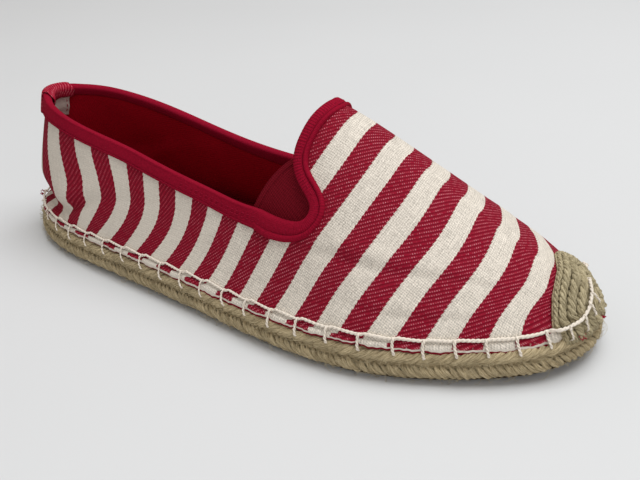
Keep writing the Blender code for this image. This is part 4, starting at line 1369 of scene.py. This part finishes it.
def build_gore(name, medial, material, node):
    """Elastic web behind the notch, with ribs along its free edge."""
    span = slice(QUARTER_COLUMNS - FINE, QUARTER_COLUMNS + 17 * FINE + 1)
    rim = np.stack(follow(TOP.angle[span], TOP.rise[span], (TOP.point + TOP.into * 4 * MM)[span]))
    part = np.linspace(0, 1, rim.shape[1])
    free = rim[:, :1] + (rim[:, -1:] - rim[:, :1]) * part
    free[0] -= 0.03 * np.sin(math.pi * part)
    levels = np.linspace(0, 1, 60)[:, None]
    angle, rise = free[:, None] + (rim - free)[:, None] * levels
    near, _, _, normal = last_frame(FULL_TURN - angle if medial else angle, rise)
    distance = np.linalg.norm(near - near[0], axis=-1) / MM
    hem = 0.25 * (1 - smooth_step(distance, 2.0, 2.3)) - 0.3 * np.exp(-((distance - 2.3) / 0.25) ** 2)
    ribs = 0.10 * np.cos(distance / GORE_RIB_PITCH * FULL_TURN) * smooth_step(distance, 2.3, 2.6)
    top = near + normal * ((-1.45 + hem + ribs) * MM - CANVAS_WALL)[..., None]
    grain = as_points(part * 30, distance, 0.0)
    if medial:
        top, normal, grain = top[:, ::-1], normal[:, ::-1], grain[:, ::-1]
    heap = Heap()
    heap.slab(top, normal, 0.8 * MM, grain)
    heap.piece(name, [material], "elastic", node)


# ---------------------------------------------------------------- cord
def toe_rise(angle):
    """Extra rise of the cord where it climbs over the cap."""
    turns, rises = np.array(TOE_CORD).T
    return sum(np.interp(angle - math.pi + shift, turns, rises) for shift in (-0.02, 0.0, 0.02)) / 3


def on_cap(angle):
    """0 on the canvas, 1 on the toe cap, at the feather line."""
    share = angle_station(angle)
    lateral, medial = [smooth_step(share, *span) for span in CAP_STARTS]
    return np.where(angle > math.pi, medial, lateral)


def cord_rise(angle, length):
    """Rise of the cord: it steps up at each stitch and sags to the next one."""
    share = angle_station(angle)
    step = np.interp(stitch_phase(np.mod(length, FOOT_TOTAL)), (0, 0.14, 1), (-1, 0.9, -1))
    return 0.012 + 0.020 * smooth_step(share, 0.55, 0.8) + 0.006 * step + toe_rise(angle)


def cord_dip(angle):
    """1 where the cord dives between the ropes of the cap, past the tip."""
    past = angle - math.pi
    return smooth_step(past, 0.13, 0.18) * (1 - smooth_step(past, 0.36, 0.44))


def build_cord(material):
    """Two-ply cord laid along the feather line."""
    length = np.linspace(0, FOOT_TOTAL, 1800, endpoint=False)
    angle = angle_at(length)
    rise = cord_rise(angle, length)
    point, _, upward, normal = last_frame(angle, rise)
    lift = relief(angle, rise) * 0.6 + 0.50 * MM + on_cap(angle) * 3.1 * MM - 0.7 * heel_inset(angle)
    lift = lift - 2.6 * MM * cord_dip(angle)
    radius = (0.30 + 0.10 * smooth_step(angle_station(angle), 0.55, 0.9)) * MM
    radius = radius * (1 + 0.05 * np.sin(length / MM * 0.8))
    plies = np.array(((0.0,), (math.pi,)))
    phase = (length * (round(FOOT_TOTAL / CORD_TWIST) * FULL_TURN / FOOT_TOTAL) + plies)[..., None]
    spread = normal * np.cos(phase) * 0.9 + unit(upward) * np.sin(phase)
    heap = Heap()
    heap.tubes(point + normal * lift[:, None] + spread * radius[:, None] * 0.6, normal, radius, closed=True)
    heap.piece("feather_cord", [material], "canvas")


def heel_inset(angle):
    """The sole's side stands a little in at the back of the heel."""
    return 1.5 * MM * smooth_step(np.cos(angle), 0.6, 1.0)


def side_wall(angle, height, offset=0.0):
    """Point and normal on the outside of the sole at a height over the floor line."""
    heights, insets = np.array(SIDE_WALL).T * MM
    toe = toe_share(angle) * TOE_EXTRA_INSET * smooth_step(height, 8 * MM, 13 * MM)
    near = 0.6 * MM
    lean = np.interp(height + near, heights, insets) - np.interp(height - near, heights, insets)
    x, y, out = outline(angle, np.interp(height, heights, insets) + toe + heel_inset(angle))
    normal = unit(as_points(out[..., 0], out[..., 1], lean / (2 * near)))
    point = as_points(x, y, height + spring(x))
    return point + normal * np.broadcast_to(offset, np.shape(angle))[..., None], normal


def wall_scale(angle, rise):
    """Length on the wall for one unit of rise, near a rise."""
    low, high = last_point(np.full(2, float(angle)), np.array((rise - 0.02, rise + 0.02)))
    return np.linalg.norm(high - low) / 0.04


def tie_down(length, rng):
    """One stitch over the cord, down over the hem in a hook and into the jute: points, normals, radius."""
    over, out = np.array(TIE_DOWN).T
    depth = np.clip(-over, 0, 7) / 6.7
    over_ropes = np.maximum(out, np.minimum(0.9, over + 1.5)) + 3.0 + 0.2 * depth
    angle = angle_at(length)
    share = angle_station(angle)
    cap = on_cap(angle)
    front = smooth_step(share, 0.45, 0.65)
    reach = np.interp(share, (0.0, 0.12, 0.3, 1.0), (0.55, 0.68, 0.76, 0.74)) + 0.08 * rng.uniform(-1, 1)
    start_rise = cord_rise(angle, length + 0.5 * MM)
    scale = wall_scale(angle, start_rise)
    height = start_rise * scale + over * np.where(over < 0, reach, 1) * MM
    hook = rng.uniform(0.8, 2.4) * depth ** 2 - rng.uniform(0.3, 0.9) * np.sin(math.pi * depth)
    hook = hook * (1 - 0.75 * front) + rng.uniform(-0.2, 0.6) * front * depth
    hook = hook + 2.6 * cap * depth * smooth_step(angle - math.pi, -0.14, -0.03)
    angles = angle_at(length + hook * MM)
    wall, _, _, wall_normal = last_frame(angles, np.clip(height / scale, 0, 1))
    low, low_normal = side_wall(angles, FEATHER_HEIGHT + np.minimum(height, 0))
    hem, _, _, hem_normal = last_frame(angles, np.clip(height / HEM_DROP, -1.3, 0))
    low = low + (hem - low) * cap
    low_normal = unit(low_normal + (hem_normal - low_normal) * cap)
    above = (height >= 0)[:, None]
    normal = np.where(above, wall_normal, low_normal)
    offset = (out + (over_ropes - out) * cap - 3.0 * cord_dip(angles)) * MM - heel_inset(angles) * 0.6
    path = np.where(above, wall, low) + normal * offset[:, None]
    knots = np.arange(len(over))
    fine = np.linspace(0, knots[-1], 40)
    smooth = np.stack([spline(knots, path[:, k], fine) for k in range(3)], -1)
    size = (0.25 + 0.14 * front - 0.10 * cap + 0.03 * rng.uniform(-1, 1)) * MM
    return smooth, unit(sample(fine, knots, normal)), size


def build_tie_downs(material):
    """Two-ply stitches that hold the cord, all round the feather line."""
    rng = np.random.default_rng(11)
    paths, ups, sizes = [np.array(part) for part in zip(*[tie_down(length, rng) for length in STITCHES])]
    sizes = sizes[:, None]
    side = unit(np.cross(unit(np.gradient(paths, axis=1)), ups))
    turn = (path_length(paths, 1) / THREAD_TWIST * FULL_TURN)[..., None]
    heap = Heap()
    for ply in (0, 1):
        phase = turn + ply * math.pi
        strand = paths + (side * np.cos(phase) + ups * np.sin(phase)) * (sizes * 0.62)[..., None]
        heap.tubes(strand, ups, sizes * 0.72, sides=7, shift=ply * PLY_NUMBERS)
    heap.piece("tie_down_stitches", [material], "canvas")


# ---------------------------------------------------------------- jute
def level_ring(angle, inset, height):
    """Points round the sole at an inset from its outline and a height over the floor line."""
    x, y, _ = outline(angle, inset)
    return as_points(x, y, height + spring(x))


def strand_row(heap, rng, number, count, stretch):
    """One row of slanted strands on the side of the sole."""
    low, high, lean, wide, thick, end_sink, sink_start, twist = STRAND_ROWS[number]
    part = np.linspace(0, 1, 11)
    start = (np.arange(count) + 0.5 * number + rng.uniform(-0.12, 0.12, count)) * FOOT_TOTAL / count
    slant = lean * rng.uniform(0.85, 1.2, count) * MM * stretch
    bend = rng.uniform(-0.4, 0.4, count) * MM
    places = start[:, None] + slant[:, None] * (part - 0.3) + bend[:, None] * np.sin(math.pi * part)
    height = (low + (high - low) * part) * MM + rng.uniform(-0.25, 0.25, (count, 1)) * MM
    sink = -(thick + 0.05) + 0.25 * np.sin(math.pi * part) - 1.3 * (1 - smooth_step(part, 0.0, 0.25))
    sink = sink - end_sink * smooth_step(part, sink_start, 1.0)
    offset = (sink + rng.uniform(-0.2, 0.2, (count, 1))) * MM
    point, normal = side_wall(angle_at(places), height, offset)
    size = rng.uniform(0.85, 1.12, (count, 1)) * np.sin(math.pi * np.clip(part, 0.12, 0.88)) ** 0.5 * MM
    heap.tubes(point, normal, size * wide, size * thick, shift=number * ROW_NUMBERS, floor=0.15 * MM,
               sides=10, flute=0.11, twist=twist)


def build_jute(material):
    """Side of the sole: two rows of slanted strands that meet in a groove, over a dark core."""
    rng = np.random.default_rng(5)
    heap = Heap()
    outer_total = path_length(np.stack(outline(np.linspace(0, FULL_TURN, 2881))[:2], -1))[-1]
    for number in range(len(STRAND_ROWS)):
        strand_row(heap, rng, number, int(outer_total / STRAND_SPACING), FOOT_TOTAL / outer_total)
    ring = np.linspace(0, FULL_TURN, 480, endpoint=False)
    rings = []
    for inset, height, at_toe in CORE_PROFILE:
        toe = at_toe * TOE_EXTRA_INSET * toe_share(ring)
        rings.append(level_ring(ring, inset * MM + toe + heel_inset(ring), height * MM))
    around = 2.0 * np.arange(len(rings))[:, None]
    grain = as_points(length_at(ring) / MM, around, CORE_NUMBER)
    heap.add(np.stack(rings), closed_rings(len(rings), len(ring)), grain=grain)
    heap.piece("jute_braid", [material], "jute", "jute_sole")


def build_heel_fray(material):
    """Loose ends of red yarn where the hem closes at the heel."""
    rng = np.random.default_rng(21)
    one_each = (FRAY_COUNT, 1)
    part = np.linspace(0, 1, 6)
    angle = rng.uniform(0.16, 0.30, one_each) + rng.uniform(-0.05, 0.05, one_each) * part
    rise = rng.uniform(-0.03, 0.0, one_each) + rng.uniform(-0.01, 0.035, one_each) * part
    point, _, _, normal = last_frame(angle, rise)
    reach = 0.4 + rng.uniform(0.6, 1.7, one_each) * part ** 0.8
    up = np.array((0.2, 0.1, 1.0))
    heap = Heap()
    heap.tubes(point + normal * (reach * MM)[..., None], up, 0.15 * MM * (1 - 0.4 * part), sides=5)
    heap.piece("heel_fray", [material], "canvas")


def build_fibres(material):
    """Stray fibres that stand off the jute."""
    rng = np.random.default_rng(8)
    one_each = (FIBRE_COUNT, 1)
    part = np.linspace(0, 1, 7)
    start = rng.uniform(0, FOOT_TOTAL, one_each)
    height = rng.uniform(1.0, 9.5, one_each) * MM
    reach = rng.uniform(0.4, 2.6, one_each) * rng.uniform(0.1, 1, one_each) * MM
    slide = rng.uniform(-4.5, 4.5, one_each) * MM
    climb = rng.uniform(-2.5, 1.5, one_each) * MM
    high = np.clip(height + climb * part, 0.3 * MM, 10.5 * MM)
    lift = reach * np.sin(math.pi * part * rng.uniform(0.5, 1.0, one_each)) - 0.2 * MM
    point, normal = side_wall(angle_at(start + slide * part), high, np.minimum(lift, 2.2 * MM))
    heap = Heap()
    heap.tubes(point, normal, 0.055 * MM * (1 - 0.5 * part), sides=4, floor=0.1 * MM)
    heap.piece("jute_fibres", [material], "jute")


# ---------------------------------------------------------------- toe cap
def cap_grid(medial, columns, rises):
    """Angles and rises over one side of the cap, from its rear edge to the tip."""
    rises = rises[:, None]
    rear = station_angle(np.interp(rises, *np.array(CAP_EDGE_MEDIAL if medial else CAP_EDGE_LATERAL).T))
    angle = rear + (math.pi - rear) * np.linspace(0, 1, columns)
    return (FULL_TURN - angle if medial else angle), np.broadcast_to(rises, angle.shape)


def build_toe_cap(material):
    """Cap of jute ropes side by side, each parallel to the cap's rear edge, over a woven base."""
    heap = Heap()
    rises = np.concatenate((np.linspace(-1, 0, 6)[:-1], np.linspace(0, 1, 40)))
    for medial in (False, True):
        angle, rise = cap_grid(medial, 50, rises)
        point, _, _, normal = last_frame(angle, rise)
        grain = as_points(rise * 25, (angle - math.pi) * 40, BASE_NUMBER)
        heap.slab(point + normal * MM, normal, 0.8 * MM, grain)
    # Ropes at even distances from the rear edge
    rises = np.linspace(-1.2, 1, 221)
    rear = []
    for medial in (False, True):
        angle, rise = cap_grid(medial, 2, rises)
        rear.append(last_point(angle[:, 0], rise[:, 0]))
    rear = np.concatenate(rear)
    for number, (reach, *form) in enumerate(CAP_ROPES):
        rope_on(heap, *distance_line(rear, reach * MM), *form, ROPE_NUMBERS + number * 10)
    heap.piece("toe_cap_ropes", [material], "jute", "toe_cap")


def distance_line(rear, reach):
    """Angles and rises of the cap's line at a distance from its rear edge, lateral to medial."""
    found = []
    rises = np.linspace(-1.2, 1, 89)
    for medial in (False, True):
        angle, rise = cap_grid(medial, 61, rises)
        points = last_point(angle, rise)
        gaps = np.linalg.norm(points[:, :, None] - rear[None, None], axis=-1).min(-1) - reach
        for axis in (0, 1):
            low = np.take(gaps, range(gaps.shape[axis] - 1), axis)
            high = np.take(gaps, range(1, gaps.shape[axis]), axis)
            at = np.nonzero((low < 0) != (high < 0))
            share = low[at] / (low[at] - high[at])
            step = (at[0] + 1, at[1]) if axis == 0 else (at[0], at[1] + 1)
            found.append(np.stack((angle[at] + (angle[step] - angle[at]) * share,
                                   rise[at] + (rise[step] - rise[at]) * share), -1))
    line = np.concatenate(found)
    points = last_point(line[:, 0], line[:, 1])
    order = np.argsort(np.arctan2(points[:, 1] - 2 * MM, points[:, 2] - 6 * MM))
    return line[order, 0], line[order, 1]


def rope_on(heap, angle, rise, radius, pitch, plies, own, number):
    """One twisted rope laid on the surface along angles and rises. own is a ply's share of its radius."""
    radius = radius * MM
    point, _, _, normal = last_frame(angle, rise)
    length = path_length(point)
    fine = np.linspace(0, length[-1], int(length[-1] / (0.55 * MM)))
    soft = np.exp(-(np.arange(-4, 5) / 2.0) ** 2)

    def even(values):
        padded = np.pad(sample(fine, length, values), ((4, 4), (0, 0)), mode="reflect", reflect_type="odd")
        return np.stack([np.convolve(padded[:, k], soft / soft.sum(), "valid") for k in range(3)], -1)

    centre = even(point)
    up = unit(even(normal))
    centre = centre + up * (1.1 * MM + radius * 0.4)
    side = unit(np.cross(unit(np.gradient(centre, axis=0)), up))
    for ply in range(plies):
        phase = (fine / (pitch * MM) * FULL_TURN + ply * FULL_TURN / plies)[:, None]
        path = centre + (side * np.cos(phase) + up * np.sin(phase) * 0.75) * radius * 0.52
        heap.tubes(path[None], up[None], radius * own, shift=number + ply, sides=12, flute=0.15, twist=0.5)


def build_toe_threads(material):
    """Two small tufts of the canvas's red threads between the cap and the sole."""
    rng = np.random.default_rng(3)
    heap = Heap()
    part = np.linspace(0, 1, 7)
    for place in np.repeat((-9.0, 2.5), 9):
        drift = rng.uniform(-1.2, 1.2) * part
        climb = rng.uniform(-0.8, 0.6) * part
        angles = angle_at(TOE_LENGTH + (place + rng.uniform(-0.7, 0.7) + drift) * MM)
        height = (9.6 + rng.uniform(-0.4, 0.4) + climb) * MM
        point, normal = side_wall(angles, height, (-0.3 + 2.2 * part) * MM)
        heap.tubes(point[None], normal[None], 0.22 * MM, sides=5)
    heap.piece("toe_red_threads", [material], "canvas")


# ---------------------------------------------------------------- inside and underneath
def build_insole(material):
    """Cloth insole: a soft rounded rim and a slightly dished middle."""
    ring = np.linspace(0, FULL_TURN, 360, endpoint=False)
    rings = np.stack([level_ring(ring, inset * MM, height * MM) for inset, height in INSOLE_PROFILE])
    heap = Heap()
    heap.add(rings, closed_rings(*rings.shape[:2]))
    heap.piece("insole_cloth", [material], "insole_cloth", "insole")


def tread_plan():
    """Grid of points over the outsole, from one edge to the other, and their insets in millimetres."""
    # Stations stand closer together at both ends, where the outline turns across the sole
    end = 0.004
    tip = end * np.linspace(0, 1, 12) ** 2
    angle = station_angle(np.concatenate((tip, np.linspace(end, 1 - end, 500)[1:-1], 1 - tip[::-1])))
    sides = [np.stack([np.stack(outline(turned, inset * MM)[:2], -1) for inset in TREAD_INSETS])
             for turned in (angle, FULL_TURN - angle)]
    part = np.linspace(0, 1, 14)[1:-1, None, None]
    middle = sides[0][-1] + (sides[1][-1] - sides[0][-1]) * part
    inset = np.concatenate((TREAD_INSETS, np.full(len(middle), 20.0), TREAD_INSETS[::-1]))
    return np.concatenate((sides[0], middle, sides[1][::-1])), inset[:, None]


def panel(x, inset, start, end):
    """The groove round one tread panel between two places along the sole, and the ribbed rim outside it."""
    inside = np.minimum(inset - 9.8, np.minimum(x - start - 8, end - 8 - x))
    groove = smooth_step(inside, -0.3, 0.1) * (1 - smooth_step(inside, 1.5, 1.9))
    rim = (1 - smooth_step(inside, -0.8, -0.2)) * smooth_step(inset, 2.4, 3.2)
    return groove, rim * (x > start + 0.5) * (x < end - 0.5)


def build_outsole(material):
    """Rubber sheet with fine ribs across the heel and a grooved panel in the waist and forefoot."""
    plan, inset = tread_plan()
    x = plan[..., 0] / MM
    heel_end, waist_start, waist_end, fore = along_x((0.27, 0.276, 0.50, 0.60)) / MM
    heel = (1 - smooth_step(x, heel_end, heel_end + 0.8)) * smooth_step(inset, 2.4, 3.4)
    heel_ribs = (0.5 - 0.5 * np.cos(x / HEEL_RIB_PITCH * FULL_TURN)) * heel
    arch = 0.7 * smooth_step(x, waist_start, waist_start + 1) * (1 - smooth_step(x, waist_end, fore))
    grooves, rims = np.maximum(panel(x, inset, waist_start, waist_end), panel(x, inset, fore, 400.0))
    fine_ribs = (0.5 - 0.5 * np.cos(x / FINE_RIB_PITCH * FULL_TURN)) * rims
    cut = HEEL_RIB_DEPTH * heel_ribs + GROOVE_DEPTH * grooves + FINE_RIB_DEPTH * fine_ribs
    heights = np.stack((cut + arch, np.full(x.shape, TREAD_THICKNESS))) * MM + spring(plan[..., 0])
    count, columns = x.shape
    size = count * columns
    edge = columns * np.arange(count)
    far_edge = edge + columns - 1
    faces = [grid(count, columns, flip=True), grid(count, columns, first=size),
             band(edge, edge + size, flip=True), band(far_edge, far_edge + size)]
    depth = np.stack((heel_ribs + grooves + fine_ribs, np.zeros(x.shape)))
    verts = np.concatenate((np.stack((plan, plan)), heights[..., None]), -1)
    heap = Heap()
    heap.add(verts, faces, grain=depth[..., None] * (1, 0, 0))
    heap.piece("outsole_tread", [material], "rubber", "outsole")


# ---------------------------------------------------------------- stage
def build_floor():
    mesh = bpy.data.meshes.new("floor")
    corners = [(x * FLOOR_SIZE, y * FLOOR_SIZE, 0) for x, y in ((-1, -1), (1, -1), (1, 1), (-1, 1))]
    mesh.from_pydata(corners, [], [(0, 1, 2, 3)])
    add_object("floor", mesh)
    g = Graph("floor_paper")
    x, y, _ = g.place()
    tone = 0.97 + g.noise(g.vector(x, y), 0.004) * 0.06
    mesh.materials.append(g.finish(g.scale_colour(FLOOR_GREY, tone), 0.7, specular=0.2))


def build_light():
    """An even studio sky and two area lights aimed at the shoe."""
    world = bpy.data.worlds.new("studio")
    world.use_nodes = True
    background = world.node_tree.nodes["Background"]
    background.inputs["Color"].default_value = SKY_COLOUR
    background.inputs["Strength"].default_value = SKY_STRENGTH
    bpy.context.scene.world = world
    for name, place, size, power in LIGHTS:
        data = bpy.data.lights.new(name, "AREA")
        data.size = size
        data.energy = power
        data.color = LIGHT_COLOUR
        light = add_object(name, data)
        light.location = place
        light.rotation_mode = "QUATERNION"
        light.rotation_quaternion = (LIGHT_TARGET - Vector(place)).to_track_quat("-Z", "Y")


def build_camera():
    bpy.context.scene.view_settings.view_transform = "Standard"
    azimuth, elevation, roll = (math.radians(turn) for turn in CAMERA_TURNS)
    back = Vector((math.sin(azimuth) * math.cos(elevation), -math.cos(azimuth) * math.cos(elevation),
                   math.sin(elevation)))
    flat = Vector((math.cos(azimuth), math.sin(azimuth), 0))
    up = back.cross(flat)
    right = math.cos(roll) * flat + math.sin(roll) * up
    top = math.cos(roll) * up - math.sin(roll) * flat
    data = bpy.data.cameras.new("camera")
    data.sensor_width = SENSOR_WIDTH
    data.lens = FOCAL_RATIO * SENSOR_WIDTH
    camera = add_object("camera", data)
    turned = Matrix((right, top, back)).transposed().to_4x4()
    camera.matrix_world = Matrix.Translation(CAMERA_TARGET + CAMERA_DISTANCE * back) @ turned
    bpy.context.scene.camera = camera


def main():
    canvas = canvas_material()
    lining = cloth_material("lining_red", LINING_RED, 0.7, 0.3, 0.08)
    tape = tape_material()
    gore = gore_material()
    jute = jute_material("jute_strands", JUTE, JUTE_DARK)
    cap = jute_material("jute_cap", CAP_JUTE, CAP_DARK)
    tab = tab_material()
    fibre = thread_material("jute_fibre", FIBRE)
    thread = thread_material("cotton_cord", THREAD)
    red_thread = thread_material("red_thread", RED_THREAD)
    rubber = rubber_material()
    insole = cloth_material("insole_red", INSOLE_RED, 0.8, 0.3, 0.1)
    patch = cloth_material("patch_white", PATCH_WHITE, 0.6, 0.15, 0.08)
    build_canvas(canvas, lining)
    build_binding(tape)
    build_binding_stitches(red_thread)
    build_heel_tab(tab)
    build_heel_patch(patch, red_thread)
    build_gore("gore_web_lateral", False, gore, "gore_lateral")
    build_gore("gore_web_medial", True, gore, "gore_medial")
    build_cord(thread)
    build_tie_downs(thread)
    build_heel_fray(red_thread)
    build_jute(jute)
    build_fibres(fibre)
    build_toe_cap(cap)
    build_toe_threads(red_thread)
    build_insole(insole)
    build_outsole(rubber)
    build_floor()
    build_light()
    build_camera()


main()
